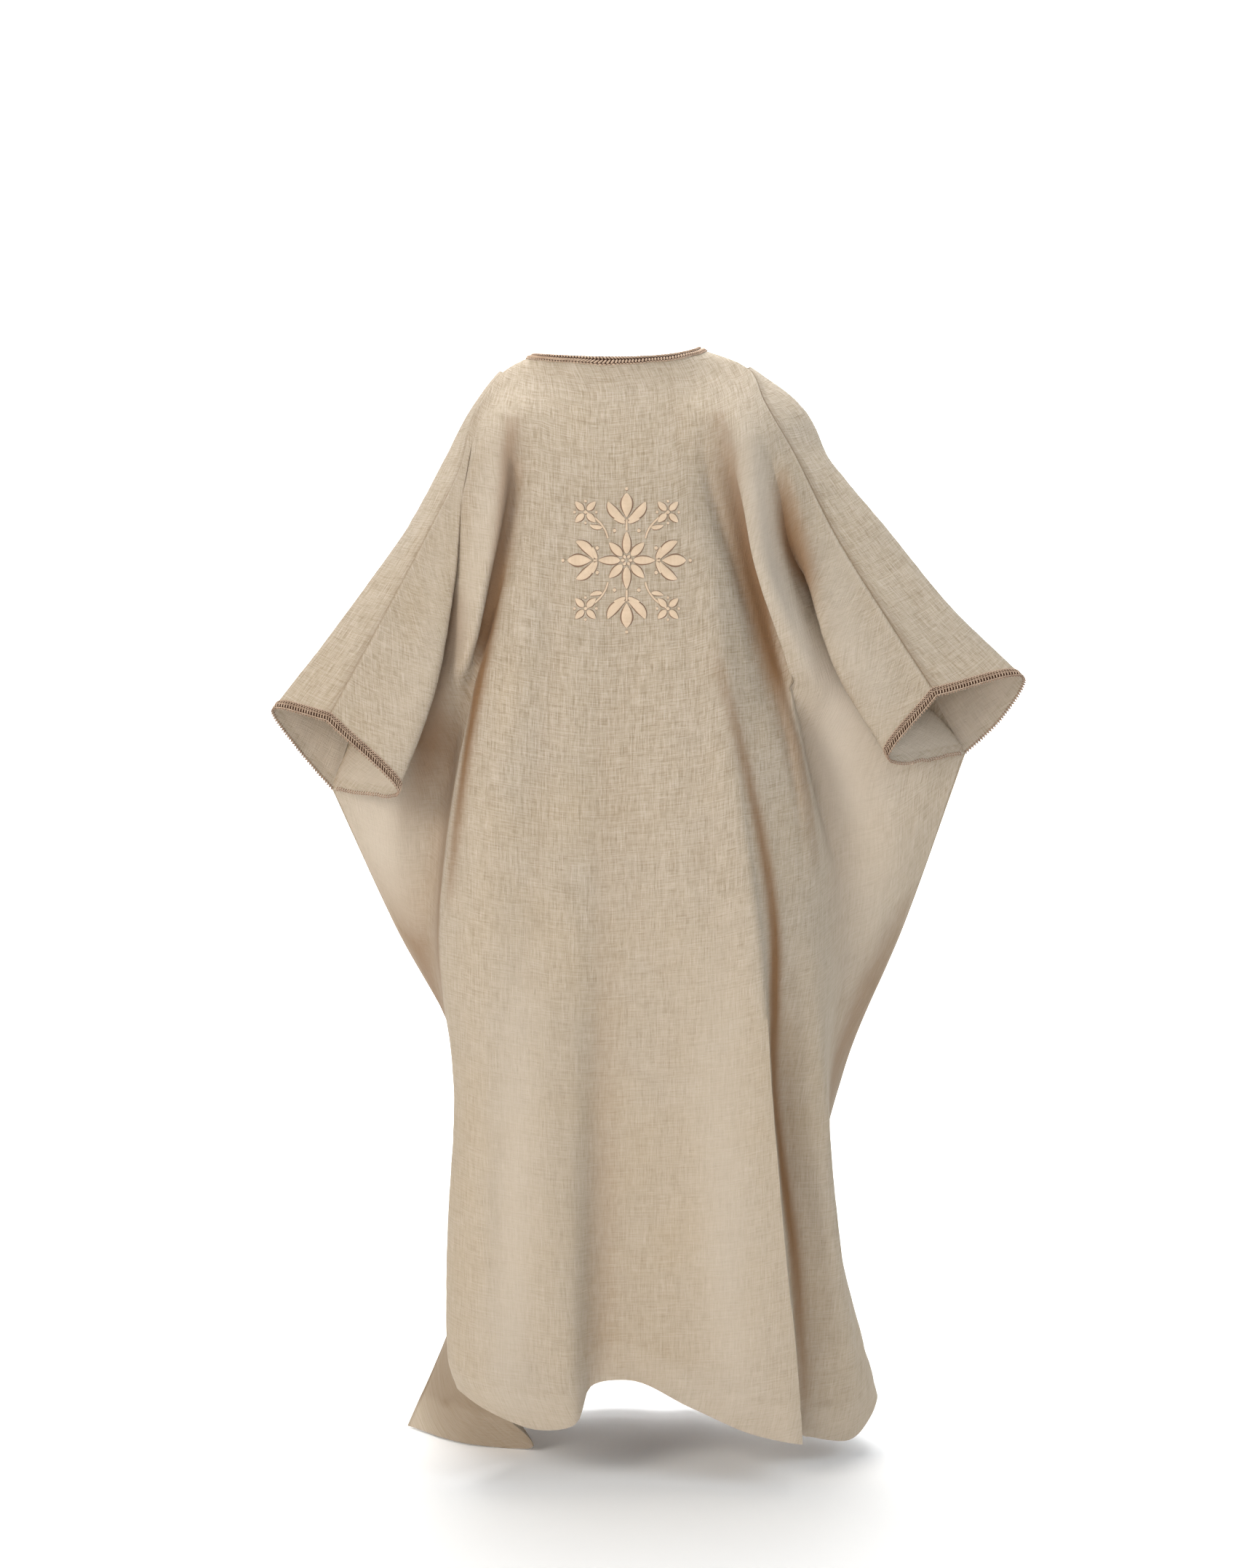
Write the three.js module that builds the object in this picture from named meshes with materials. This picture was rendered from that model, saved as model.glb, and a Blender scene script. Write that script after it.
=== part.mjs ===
// A wide-sleeved abaya as it hangs when worn: back panel, front panel, one band over
// each shoulder and arm, a braid round the neck and a braid round each cuff.
// Frame: +X the wearer's right, +Y the way the wearer faces, +Z up, millimetres.
// The origin is at the base of the neck, where the wearer's shoulders hold the garment.

import * as THREE from 'three';

// ---- Driving dimensions ---------------------------------------------------------------

const CLOTH = 1.6; // thickness of the linen wall
const SEAM_GAP = 0.3; // space between two pieces at a seam
const SEAM_SLACK = 0.05; // more on each side, for the curve of the seam between two rows

const NECK = {
  halfWidth: 114,
  sideY: -15,
  backDepth: 66,
  frontDepth: 88,
  leftZ: 1,
  rightZ: 11,
  backZ: -15,
  frontZ: -74,
  dropPower: 1.4, // how late the neckline drops on its way from the side to the middle
};

const NECK_BRAID = { width: 10, thickness: 2.2, lift: 0.6, groove: 0.9 };
const CUFF_BRAID = { width: 14, thickness: 2.6, lift: 0.5, groove: 1.0, startFromFork: 22 };

// Heights of the named levels on the middle of the back, and the rows of cells above each.
const LEVELS = [
  { level: 'neck', z: -15, rows: 0 },
  { level: 'yoke', z: -50, rows: 2 },
  { level: 'shoulder', z: -86, rows: 1 },
  { level: 'blade', z: -186, rows: 2 },
  { level: 'chest', z: -300, rows: 3 },
  { level: 'elbow', z: -415, rows: 3 },
  { level: 'cuff', z: -556, rows: 4 },
  { level: 'hip', z: -788, rows: 3 },
  { level: 'thigh', z: -1012, rows: 3 },
  { level: 'shin', z: -1265, rows: 3 },
  { level: 'low', z: -1378, rows: 2 },
  { level: 'hem', z: -1450, rows: 2 },
];

// Fold lines of the back panel, from the left band seam to the right one. `cells` is how
// many cells lie between a line and the next. Each level gives [x, y] or [x, y, z].
// Lines of the sleeve flaps end at the cuff; side lines are the side seams below it.
const BACK_FOLDS = [
  { line: 'seam_left', cells: 3, yoke: [-158, -30, -23], shoulder: [-185, -60, -63], blade: [-214, -85, -157],
    chest: [-255, -105, -245], elbow: [-320, -130, -371], cuff: [-392, -150, -505] },
  { line: 'flap_left', cells: 3, yoke: [-152, -40, -27], shoulder: [-181, -72, -76], blade: [-219, -102],
    chest: [-227, -122, -312], elbow: [-243, -138, -455], cuff: [-296, -140, -604] },
  { line: 'side_left', cells: 3, yoke: [-143, -49, -33], shoulder: [-174, -82, -82], blade: [-212, -70],
    chest: [-238, -52, -302], elbow: [-318, -34, -447], cuff: [-395, -60, -604], hip: [-316, 15, -803],
    thigh: [-214, 30], shin: [-226, 36], low: [-244, 42, -1396], hem: [-304, 45, -1538] },
  { line: 'wing_left', cells: 2, yoke: [-132, -58, -38], shoulder: [-164, -92], blade: [-202, -114],
    chest: [-217, -114], elbow: [-246, -98, -421], cuff: [-305, -70, -588], hip: [-292, -14, -801],
    thigh: [-216, -16], shin: [-214, -22], low: [-222, -26, -1420], hem: [-212, -36, -1538] },
  { line: 'fold_left', cells: 2, yoke: [-117, -67, -43], shoulder: [-142, -100], blade: [-154, -132],
    chest: [-168, -142], elbow: [-188, -128, -421], cuff: [-224, -66], hip: [-262, -44, -798],
    thigh: [-216, -74], shin: [-204, -82], low: [-170, -78, -1430], hem: [-120, -62, -1536] },
  { line: 'edge_left', cells: 2, yoke: [-102, -75, -46], shoulder: [-111, -105], blade: [-130, -124],
    chest: [-148, -128], elbow: [-184, -124], cuff: [-206, -136], hip: [-231, -142],
    thigh: [-219, -152], shin: [-230, -167], low: [-227, -177], hem: [-211, -184, -1418] },
  { line: 'dip_left', cells: 1, yoke: [-90, -80, -48], shoulder: [-98, -106], blade: [-113, -135],
    chest: [-132, -146], elbow: [-162, -146], cuff: [-184, -158], hip: [-207, -166],
    thigh: [-203, -178], shin: [-212, -192], low: [-212, -202], hem: [-190, -202, -1429] },
  { line: 'ridge_left', cells: 2, yoke: [-77, -85, -49], shoulder: [-85, -107], blade: [-97, -142],
    chest: [-114, -156], elbow: [-138, -166], cuff: [-158, -172], hip: [-180, -182],
    thigh: [-180, -194], shin: [-186, -208], low: [-184, -215], hem: [-162, -215, -1441] },
  { line: 'mid_left', cells: 1, yoke: [-51, -90], shoulder: [-58, -110], blade: [-62, -148],
    chest: [-72, -160], elbow: [-86, -168], cuff: [-98, -173], hip: [-112, -181],
    thigh: [-116, -195], shin: [-116, -210], low: [-110, -217], hem: [-100, -219, -1461] },
  { line: 'crest', cells: 1, yoke: [-28, -93], shoulder: [-30, -112], blade: [-28, -150],
    chest: [-32, -162], elbow: [-40, -168], cuff: [-46, -172], hip: [-54, -180],
    thigh: [-58, -192], shin: [-58, -208], low: [-57, -216], hem: [-55, -220, -1453] },
  { line: 'recess', cells: 1, yoke: [-8, -94], shoulder: [-8, -112], blade: [-5, -150],
    chest: [-8, -161], elbow: [-12, -166], cuff: [-18, -168], hip: [-22, -172],
    thigh: [-26, -178], shin: [-31, -184], low: [-33, -188], hem: [-34, -192, -1409] },
  { line: 'centre', cells: 2, yoke: [14, -94], shoulder: [16, -112], blade: [18, -150],
    chest: [18, -161], elbow: [18, -166], cuff: [16, -168], hip: [16, -172],
    thigh: [16, -178], shin: [16, -182], low: [15, -185], hem: [14, -186, -1402] },
  { line: 'mid_right', cells: 2, yoke: [38, -92], shoulder: [42, -111], blade: [46, -149],
    chest: [54, -161], elbow: [62, -168], cuff: [68, -172], hip: [80, -179],
    thigh: [88, -188], shin: [96, -198], low: [100, -202], hem: [102, -204, -1435] },
  { line: 'far_right', cells: 1, yoke: [60, -88, -48], shoulder: [64, -108], blade: [74, -146],
    chest: [92, -159], elbow: [106, -169], cuff: [116, -177], hip: [140, -186],
    thigh: [154, -199], shin: [170, -213], low: [182, -221], hem: [192, -223, -1468] },
  { line: 'ridge_right', cells: 2, yoke: [80, -82, -46], shoulder: [83, -105], blade: [98, -141],
    chest: [126, -155], elbow: [144, -166], cuff: [160, -176], hip: [195, -187],
    thigh: [212, -201], shin: [235, -217], low: [246, -224], hem: [251, -228, -1478] },
  { line: 'dip_right', cells: 2, yoke: [93, -77, -43], shoulder: [98, -105], blade: [113, -134],
    chest: [144, -144], elbow: [170, -146], cuff: [190, -156], hip: [224, -150],
    thigh: [226, -122], shin: [246, -132], low: [252, -136], hem: [261, -137, -1496] },
  { line: 'edge_right', cells: 2, yoke: [106, -72, -40], shoulder: [114, -104], blade: [130, -122],
    chest: [166, -120], elbow: [204, -116], cuff: [238, -120], hip: [266, -117],
    thigh: [286, -117], shin: [314, -108], low: [334, -102], hem: [331, -97, -1511] },
  { line: 'fold_right', cells: 2, yoke: [127, -61, -34], shoulder: [146, -99], blade: [165, -132],
    chest: [190, -142], elbow: [231, -128, -421], cuff: [262, -72], hip: [322, -46, -796],
    thigh: [298, -60], shin: [318, -58], low: [346, -55], hem: [370, -45, -1466] },
  { line: 'wing_right', cells: 3, yoke: [149, -48, -28], shoulder: [178, -92], blade: [206, -114],
    chest: [230, -114], elbow: [303, -98, -421], cuff: [376, -76, -567], hip: [375, -22, -800],
    thigh: [308, -16], shin: [310, -5], low: [334, 0], hem: [350, 14, -1470] },
  { line: 'side_right', cells: 3, yoke: [162, -40, -24], shoulder: [189, -84, -82], blade: [221, -70, -183],
    chest: [248, -52, -290], elbow: [350, -30, -412], cuff: [486, -60, -554], hip: [410, 10, -802],
    thigh: [327, 24], shin: [284, 44], low: [310, 52], hem: [320, 60, -1485] },
  { line: 'flap_right', cells: 3, yoke: [175, -32, -19], shoulder: [198, -74, -75], blade: [231, -102, -178],
    chest: [256, -122, -293], elbow: [295, -138, -425], cuff: [371, -140, -556] },
  { line: 'seam_right', cells: 0, yoke: [184, -25, -17], shoulder: [204, -60, -63], blade: [245, -85, -139],
    chest: [302, -105, -255], elbow: [365, -130, -360], cuff: [435, -150, -471] },
];

// Lines of each shoulder band in front of its back seam. `end` is its end on the shoulder.
const BAND_LINES = {
  left: [
    { line: 'top', end: [-164, 0, -20], shoulder: [-197, -5, -64], blade: [-237, -20, -139],
      chest: [-287, -50, -238], elbow: [-374, -80, -362], cuff: [-471, -110, -492] },
    { line: 'fore', end: [-166, 15, -25], shoulder: [-200, 34, -76], blade: [-245, 18, -158],
      chest: [-301, -8, -264], elbow: [-384, -40, -398], cuff: [-440, -76, -548] },
    { line: 'seam', end: [-167, 30, -30], shoulder: [-190, 55, -96], blade: [-228, 44, -190],
      chest: [-276, 20, -305], elbow: [-345, -10, -448], cuff: [-395, -60, -604] },
  ],
  right: [
    { line: 'top', end: [188, 2, -13], shoulder: [243, -5, -53], blade: [298, -20, -143],
      chest: [372, -50, -237], elbow: [458, -80, -346], cuff: [560, -110, -451] },
    { line: 'fore', end: [189, 16, -18], shoulder: [246, 35, -67], blade: [304, 20, -161],
      chest: [380, -8, -264], elbow: [460, -38, -384], cuff: [533, -78, -505] },
    { line: 'seam', end: [190, 30, -23], shoulder: [228, 58, -90], blade: [276, 46, -190],
      chest: [340, 22, -300], elbow: [418, -6, -425], cuff: [486, -60, -554] },
  ],
};
const BAND_CELLS = { back: 4, top: 3, fore: 3 };

// Middle of the front panel: height, how far forward it hangs and how deep its folds are.
const FRONT_MIDDLE = [
  { at: 'neck', z: -74, y: 73, fold: 0 },
  { at: 'yoke', z: -96, y: 82, fold: 0 },
  { at: 'end', z: -112, y: 88, fold: 0 },
  { at: 'shoulder', z: -140, y: 97, fold: 0 },
  { at: 'blade', z: -215, y: 112, fold: 2 },
  { at: 'chest', z: -315, y: 120, fold: 4 },
  { at: 'elbow', z: -425, y: 121, fold: 6 },
  { at: 'cuff', z: -562, y: 120, fold: 8 },
  { at: 'hip', z: -788, y: 126, fold: 11 },
  { at: 'thigh', z: -1010, y: 132, fold: 14 },
  { at: 'shin', z: -1262, y: 140, fold: 17 },
  { at: 'low', z: -1380, y: 144, fold: 19 },
  { at: 'hem', z: -1478, y: 147, fold: 20 },
];
const FRONT = {
  cellsPerSide: 11,
  middleX: 6,
  chestHalfWidth: 90, // the front is nearly flat across this far from its middle
  hangShare: 0.64, // share of each half's cloth that hangs straight from the shoulders
  hangHalfWidth: { chest: 165, hem: 235 }, // how far out that cloth reaches
  hangLimit: 0.8, // it never reaches further than this share of the way to the side
  spreadPower: 1.15, // above 1, the rest of the cloth spreads out more towards the side
  sagPower: 1.6, // how the rows drop from the side to the middle
  foldWaves: 3.1, // folds in each half
  skew: 0.35, // waves that the left half has fewer of and the right half more
  fadeIn: 4, // the folds are at full depth 1 / fadeIn of the way to the side
};

const LINEN = { color: 0xd5c7ac, roughness: 0.93, metalness: 0 };
const BRAID = { color: 0xc2a282, roughness: 0.85, metalness: 0 };

// ---- Curves ---------------------------------------------------------------------------

const vec = (x, y, z) => new THREE.Vector3(x, y, z);
const mix = (a, b, t) => a.clone().lerp(b, t);
const smooth = (t) => THREE.MathUtils.smoothstep(t, 0, 1);

// Smooth curve through `points` at the parameters `knots`, read in span `span` at `t`.
// The slope at a point is the mean of its two chords' slopes, the nearer chord counting more.
function onCurve(points, knots, span, t) {
  const width = (i) => knots[i + 1] - knots[i];
  const chord = (i) => points[i + 1].clone().sub(points[i]).divideScalar(width(i));
  const last = points.length - 1;
  const slope = (i) => {
    if (i === 0) return chord(0);
    if (i === last) return chord(last - 1);
    const total = width(i - 1) + width(i);
    return chord(i - 1).multiplyScalar(width(i) / total).addScaledVector(chord(i), width(i - 1) / total);
  };
  const h = width(span);
  const [t2, t3] = [t * t, t * t * t];
  return points[span].clone().multiplyScalar(2 * t3 - 3 * t2 + 1)
    .addScaledVector(slope(span), (t3 - 2 * t2 + t) * h)
    .addScaledVector(points[span + 1], 3 * t2 - 2 * t3)
    .addScaledVector(slope(span + 1), (t3 - t2) * h);
}

function chordKnots(points) {
  const knots = [0];
  for (let i = 1; i < points.length; i++) {
    knots.push(knots[i - 1] + Math.max(points[i].distanceTo(points[i - 1]), 1));
  }
  return knots;
}

// Curve through `points` as one list, with `cells[i]` steps between points i and i + 1.
function sampled(points, cells, knots = chordKnots(points)) {
  const out = [points[0].clone()];
  for (let i = 0; i + 1 < points.length; i++) {
    for (let k = 1; k <= cells[i]; k++) out.push(onCurve(points, knots, i, k / cells[i]));
  }
  return out;
}

// ---- Levels ---------------------------------------------------------------------------

const levelNames = LEVELS.map((row) => row.level);
const levelZ = Object.fromEntries(LEVELS.map((row) => [row.level, row.z]));
const rowsAbove = Object.fromEntries(LEVELS.map((row) => [row.level, row.rows]));
const rowAt = {};
LEVELS.reduce((sum, row) => (rowAt[row.level] = sum + row.rows), 0);

const heightKnots = (names) => names.map((name) => levelZ.neck - levelZ[name]);

// Steps down from one named level to the next; the last step above the cuff is the
// width of its braid, so that the braid lies on one row of cells.
const CUFF_ROW_SHARE = 0.12;

function rowShare(name, k) {
  const steps = rowsAbove[name];
  if (name !== 'cuff') return k / steps;
  return k < steps ? (k / (steps - 1)) * (1 - CUFF_ROW_SHARE) : 1;
}

function downLine(points, names) {
  const knots = heightKnots(names);
  const out = [points[0].clone()];
  for (let i = 1; i < names.length; i++) {
    for (let k = 1; k <= rowsAbove[names[i]]; k++) {
      out.push(onCurve(points, knots, i - 1, rowShare(names[i], k)));
    }
  }
  return out;
}

// A side line has a corner at the cuff, where the sleeve ends, so that the part below is
// read on its own.
function sideLine(points, names) {
  const cuff = names.indexOf('cuff');
  const below = downLine(points.slice(cuff), names.slice(cuff));
  return [...downLine(points, names).slice(0, rowAt.cuff), ...below];
}

// ---- Neckline -------------------------------------------------------------------------

// Point of the neckline; turn 0 is the wearer's left side and 1 the right, behind or in front.
function neckPoint(turn, behind) {
  const angle = Math.PI * (1 - turn);
  const depth = behind ? -NECK.backDepth : NECK.frontDepth;
  const sideZ = THREE.MathUtils.lerp(NECK.leftZ, NECK.rightZ, turn);
  const middleZ = behind ? NECK.backZ : NECK.frontZ;
  const drop = Math.sin(angle) ** NECK.dropPower;
  return vec(
    NECK.halfWidth * Math.cos(angle),
    NECK.sideY + depth * Math.sin(angle),
    THREE.MathUtils.lerp(sideZ, middleZ, drop),
  );
}

// ---- Panels ---------------------------------------------------------------------------
// A panel is a grid of points on its outer face, rows down the body or along the arm, and
// a normal at each that points out of the garment. `has(r, c)` tells which cells are cloth.

function panel(points, outward, has = () => true) {
  const rows = points.length - 1;
  const cols = points[0].length - 1;
  const grid = { points, rows, cols, has, normals: points.map((row) => row.map(() => vec(0, 0, 0))) };
  for (let r = 0; r < rows; r++) {
    for (let c = 0; c < cols; c++) {
      if (!has(r, c)) continue;
      const [a, b] = [points[r][c], points[r][c + 1]];
      const [d, e] = [points[r + 1][c], points[r + 1][c + 1]];
      const face = e.clone().sub(a).cross(b.clone().sub(d)).multiplyScalar(outward);
      for (const [i, j] of [[r, c], [r, c + 1], [r + 1, c], [r + 1, c + 1]]) grid.normals[i][j].add(face);
    }
  }
  for (const row of grid.normals) for (const n of row) n.normalize();
  return grid;
}

// Column numbers of the named lines of the back.
const colOf = {};
BACK_FOLDS.reduce((sum, fold) => {
  colOf[fold.line] = sum;
  return sum + fold.cells;
}, 0);
const backCols = colOf.seam_right;

function backPoints() {
  const lines = BACK_FOLDS.map((fold) => {
    const names = levelNames.filter((name) => fold[name]);
    const start = neckPoint(colOf[fold.line] / backCols, true);
    const points = names.map((name) => vec(fold[name][0], fold[name][1], fold[name][2] ?? levelZ[name]));
    const read = fold.line.startsWith('side') ? sideLine : downLine;
    return read([start, ...points], ['neck', ...names]);
  });
  const cells = BACK_FOLDS.map((fold) => fold.cells);
  const [sideLeft, sideRight] = [2, BACK_FOLDS.length - 3];
  const across = (row, from, to) => {
    const stations = lines.slice(from, to + 1).map((line) => line[row]);
    return sampled(stations, cells.slice(from, to));
  };
  const points = [];
  for (let r = 0; r <= rowAt.hem; r++) {
    const body = across(r, sideLeft, sideRight);
    if (r > rowAt.cuff) {
      const [first, last] = [body[0], body[body.length - 1]];
      const before = Array.from({ length: colOf.side_left }, () => first.clone());
      const after = Array.from({ length: backCols - colOf.side_right }, () => last.clone());
      points.push([...before, ...body, ...after]);
      continue;
    }
    const left = across(r, 0, sideLeft);
    const right = across(r, sideRight, BACK_FOLDS.length - 1);
    points.push([...left.slice(0, -1), ...body, ...right.slice(1)]);
  }
  for (let c = 0; c <= backCols; c++) points[0][c] = neckPoint(c / backCols, true);
  return points;
}

const armRows = rowAt.cuff - rowAt.yoke;
const armLevels = ['yoke', 'shoulder', 'blade', 'chest', 'elbow', 'cuff'];

// Band over one arm: back seam, top, fore line and front seam, its rows level with the back's.
function bandPoints(side, back) {
  const seamCol = side === 'left' ? 0 : backCols;
  const lines = BAND_LINES[side].map((line) => {
    const points = armLevels.map((name) => vec(...line[name === 'yoke' ? 'end' : name]));
    return downLine(points, armLevels);
  });
  const cells = [BAND_CELLS.back, BAND_CELLS.top, BAND_CELLS.fore];
  const points = [];
  for (let r = 0; r <= armRows; r++) {
    const seam = back[rowAt.yoke + r][seamCol];
    const stations = [seam, ...lines.map((line) => line[r])];
    if (r > 0) {
      points.push(sampled(stations, cells));
      continue;
    }
    const straight = [];
    const [from, top, , to] = stations;
    for (let k = 0; k <= BAND_CELLS.back; k++) straight.push(mix(from, top, k / BAND_CELLS.back));
    const fore = BAND_CELLS.top + BAND_CELLS.fore;
    for (let k = 1; k <= fore; k++) straight.push(mix(top, to, k / fore));
    points.push(straight);
  }
  return points;
}

// Outer lines of the front: shoulder seam, end of the band, front band seam, side seam.
function frontOuter(side, back, band) {
  const seamCol = side === 'left' ? 0 : backCols;
  const sideCol = side === 'left' ? colOf.side_left : colOf.side_right;
  const line = [];
  for (let r = 0; r <= rowAt.yoke; r++) line.push(back[r][seamCol]);
  line.push(band[0][BAND_CELLS.back], band[0][band[0].length - 1]);
  for (let r = 1; r <= armRows; r++) line.push(band[r][band[r].length - 1]);
  for (let r = rowAt.cuff + 1; r <= rowAt.hem; r++) line.push(back[r][sideCol]);
  return line.map((p) => p.clone());
}

const END_ROWS = 2; // rows of the front along the end of each band

function frontMiddle() {
  const names = FRONT_MIDDLE.map((row) => row.at);
  const points = FRONT_MIDDLE.map((row) => vec(row.fold, row.y, row.z));
  const steps = names.slice(1).map((name) => (name === 'end' ? END_ROWS : rowsAbove[name]));
  return sampled(points, steps);
}

// How far from the front's middle the cloth at `share` of a half's width lies: the inner
// cloth hangs straight down, and the rest spans out to the side.
function hangReach(share, reach, z) {
  const down = THREE.MathUtils.clamp((levelZ.chest - z) / (levelZ.chest - levelZ.hem), 0, 1);
  const { chest, hem } = FRONT.hangHalfWidth;
  const hang = Math.min(THREE.MathUtils.lerp(chest, hem, down), reach * FRONT.hangLimit);
  const past = Math.max(share - FRONT.hangShare, 0) / (1 - FRONT.hangShare);
  return Math.min(share / FRONT.hangShare, 1) * hang + past ** FRONT.spreadPower * (reach - hang);
}

function frontPoints(back, bands) {
  const middle = frontMiddle();
  const outer = {
    left: frontOuter('left', back, bands.left),
    right: frontOuter('right', back, bands.right),
  };
  const cols = FRONT.cellsPerSide;
  const points = [];
  for (let r = 0; r < middle.length; r++) {
    const fold = middle[r].x;
    const centre = vec(FRONT.middleX, middle[r].y, middle[r].z);
    const open = smooth(r / rowAt.blade);
    const row = [];
    for (let k = -cols; k <= cols; k++) {
      const share = Math.abs(k) / cols;
      const turn = Math.sin((share * Math.PI) / 2);
      const rim = Math.cos((share * Math.PI) / 2);
      const edge = outer[k < 0 ? 'left' : 'right'][r];
      const reach = Math.abs(edge.x - centre.x);
      const out = hangReach(share, reach, centre.z);
      const past = THREE.MathUtils.clamp((out - FRONT.chestHalfWidth) / (reach - FRONT.chestHalfWidth), 0, 1);
      const shape = {
        x: THREE.MathUtils.lerp(turn, out / reach, open),
        y: THREE.MathUtils.lerp(rim, 1 - smooth(past), open),
        z: THREE.MathUtils.lerp(rim ** NECK.dropPower, 1 - share ** FRONT.sagPower, open),
      };
      const waves = (FRONT.foldWaves + FRONT.skew * Math.sign(k)) * share;
      const dip = fold * (Math.cos(2 * Math.PI * waves) - 1) * 0.5;
      const fade = (1 - share ** 3) * smooth(share * FRONT.fadeIn);
      row.push(vec(
        centre.x + (edge.x - centre.x) * shape.x,
        edge.y + (centre.y - edge.y) * shape.y + dip * fade,
        edge.z + (centre.z - edge.z) * shape.z,
      ));
    }
    points.push(row);
  }
  const turnStep = 1 / (2 * cols);
  for (let c = 0; c <= 2 * cols; c++) points[0][c] = neckPoint(c * turnStep, false);
  return points;
}

// ---- Seams ----------------------------------------------------------------------------

// Unit vector from a point of the grid to a neighbour, kept in the surface.
function inwardAt(grid, [r, c], [dr, dc]) {
  const here = grid.points[r][c];
  const step = grid.points[r + dr][c + dc].clone().sub(here);
  const normal = grid.normals[r][c];
  return step.addScaledVector(normal, -step.dot(normal)).normalize();
}

// Pieces sewn edge to edge share the normal at the seam and draw back by half the gap.
// Each entry is { grid, at: [r, c], step: [dr, dc] } for one piece that meets there.
function sewFlat(corners) {
  const shared = vec(0, 0, 0);
  for (const { grid, at } of corners) shared.add(grid.normals[at[0]][at[1]]);
  shared.normalize();
  for (const { grid, at } of corners) grid.normals[at[0]][at[1]].copy(shared);
}

function drawBack(corners) {
  const back = SEAM_GAP / 2 + SEAM_SLACK;
  const moves = corners.map(({ grid, at, step }) => inwardAt(grid, at, step).multiplyScalar(back));
  corners.forEach(({ grid, at }, i) => grid.points[at[0]][at[1]].add(moves[i]));
}

// The band's end is straight from column `from` to column `to`, as the front's edge is there.
function straighten(band, from, to) {
  for (let c = from + 1; c < to; c++) {
    const share = (c - from) / (to - from);
    band.points[0][c].lerpVectors(band.points[0][from], band.points[0][to], share);
    band.normals[0][c].lerpVectors(band.normals[0][from], band.normals[0][to], share);
  }
}

// Back and front lie against each other at the side seam, their inner faces a gap apart.
function sewSide(back, backAt, front, frontAt, others) {
  const backNormal = back.normals[backAt[0]][backAt[1]];
  const frontNormal = front.normals[frontAt[0]][frontAt[1]];
  const across = backNormal.clone().sub(frontNormal).normalize();
  const reach = CLOTH + SEAM_GAP / 2;
  backNormal.copy(across);
  back.points[backAt[0]][backAt[1]].addScaledVector(across, reach);
  for (const { grid, at } of [{ grid: front, at: frontAt }, ...others]) {
    grid.normals[at[0]][at[1]].copy(across).negate();
    grid.points[at[0]][at[1]].addScaledVector(across, -reach);
  }
}

// ---- Closed walls ---------------------------------------------------------------------

function meshFrom(name, vertices, faces, look) {
  let volume = 0;
  for (const [a, b, c] of faces) volume += vertices[a].dot(vertices[b].clone().cross(vertices[c]));
  const index = faces.flatMap(([a, b, c]) => (volume > 0 ? [a, b, c] : [a, c, b]));
  const geometry = new THREE.BufferGeometry();
  const places = vertices.flatMap((v) => v.toArray());
  geometry.setAttribute('position', new THREE.Float32BufferAttribute(places, 3));
  geometry.setIndex(index);
  geometry.computeVertexNormals();
  const mesh = new THREE.Mesh(geometry, new THREE.MeshStandardMaterial({ ...look, side: THREE.DoubleSide }));
  mesh.name = name;
  return mesh;
}

// Wall of one panel: the grid's points outside, the same points moved in by the cloth's
// thickness inside, and a narrow face along every free edge.
function clothWall(name, grid) {
  const vertices = [];
  const faces = [];
  const numbers = new Map();
  const number = (r, c, inner) => {
    const key = (r * (grid.cols + 1) + c) * 2 + inner;
    if (!numbers.has(key)) {
      numbers.set(key, vertices.length);
      vertices.push(grid.points[r][c].clone().addScaledVector(grid.normals[r][c], inner ? -CLOTH : 0));
    }
    return numbers.get(key);
  };
  const quad = (a, b, c, d) => faces.push([a, b, c], [a, c, d]);
  const cloth = (r, c) => r >= 0 && c >= 0 && r < grid.rows && c < grid.cols && grid.has(r, c);
  const rim = ([r1, c1], [r2, c2]) => {
    quad(number(r1, c1, 0), number(r1, c1, 1), number(r2, c2, 1), number(r2, c2, 0));
  };
  for (let r = 0; r < grid.rows; r++) {
    for (let c = 0; c < grid.cols; c++) {
      if (!cloth(r, c)) continue;
      const corners = [[r, c], [r, c + 1], [r + 1, c + 1], [r + 1, c]];
      quad(...corners.map(([i, j]) => number(i, j, 0)));
      const inside = corners.map(([i, j]) => number(i, j, 1));
      faces.push([inside[0], inside[2], inside[1]], [inside[0], inside[3], inside[2]]);
      if (!cloth(r - 1, c)) rim(corners[0], corners[1]);
      if (!cloth(r, c + 1)) rim(corners[1], corners[2]);
      if (!cloth(r + 1, c)) rim(corners[2], corners[3]);
      if (!cloth(r, c - 1)) rim(corners[3], corners[0]);
    }
  }
  return meshFrom(name, vertices, faces, LINEN);
}

// ---- Braids ---------------------------------------------------------------------------

// Places of a braid's outline: share of its width from the cloth's edge, share of its height.
const BRAID_OUTLINE = [
  { across: 0.02, up: 0 }, { across: 0, up: 0.55 }, { across: 0.24, up: 1 }, { across: 0.5, up: 'groove' },
  { across: 0.76, up: 1 }, { across: 1, up: 0.55 }, { across: 0.98, up: 0 },
];

// One station of a braid, from a point of the cloth's edge and the next point into the cloth.
function station(edge, next, edgeNormal, nextNormal, sizes) {
  const share = sizes.width / edge.distanceTo(next);
  return BRAID_OUTLINE.map(({ across, up }) => {
    const height = up === 'groove' ? sizes.thickness - sizes.groove : up * sizes.thickness;
    const way = mix(edgeNormal, nextNormal, across * share).normalize();
    return mix(edge, next, across * share).addScaledVector(way, sizes.lift + height);
  });
}

function braidStation(grid, [r, c], [dr, dc], sizes) {
  const [here, there] = [grid.points, grid.normals].map((list) => [list[r][c], list[r + dr][c + dc]]);
  return station(...here, ...there, sizes);
}

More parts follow.
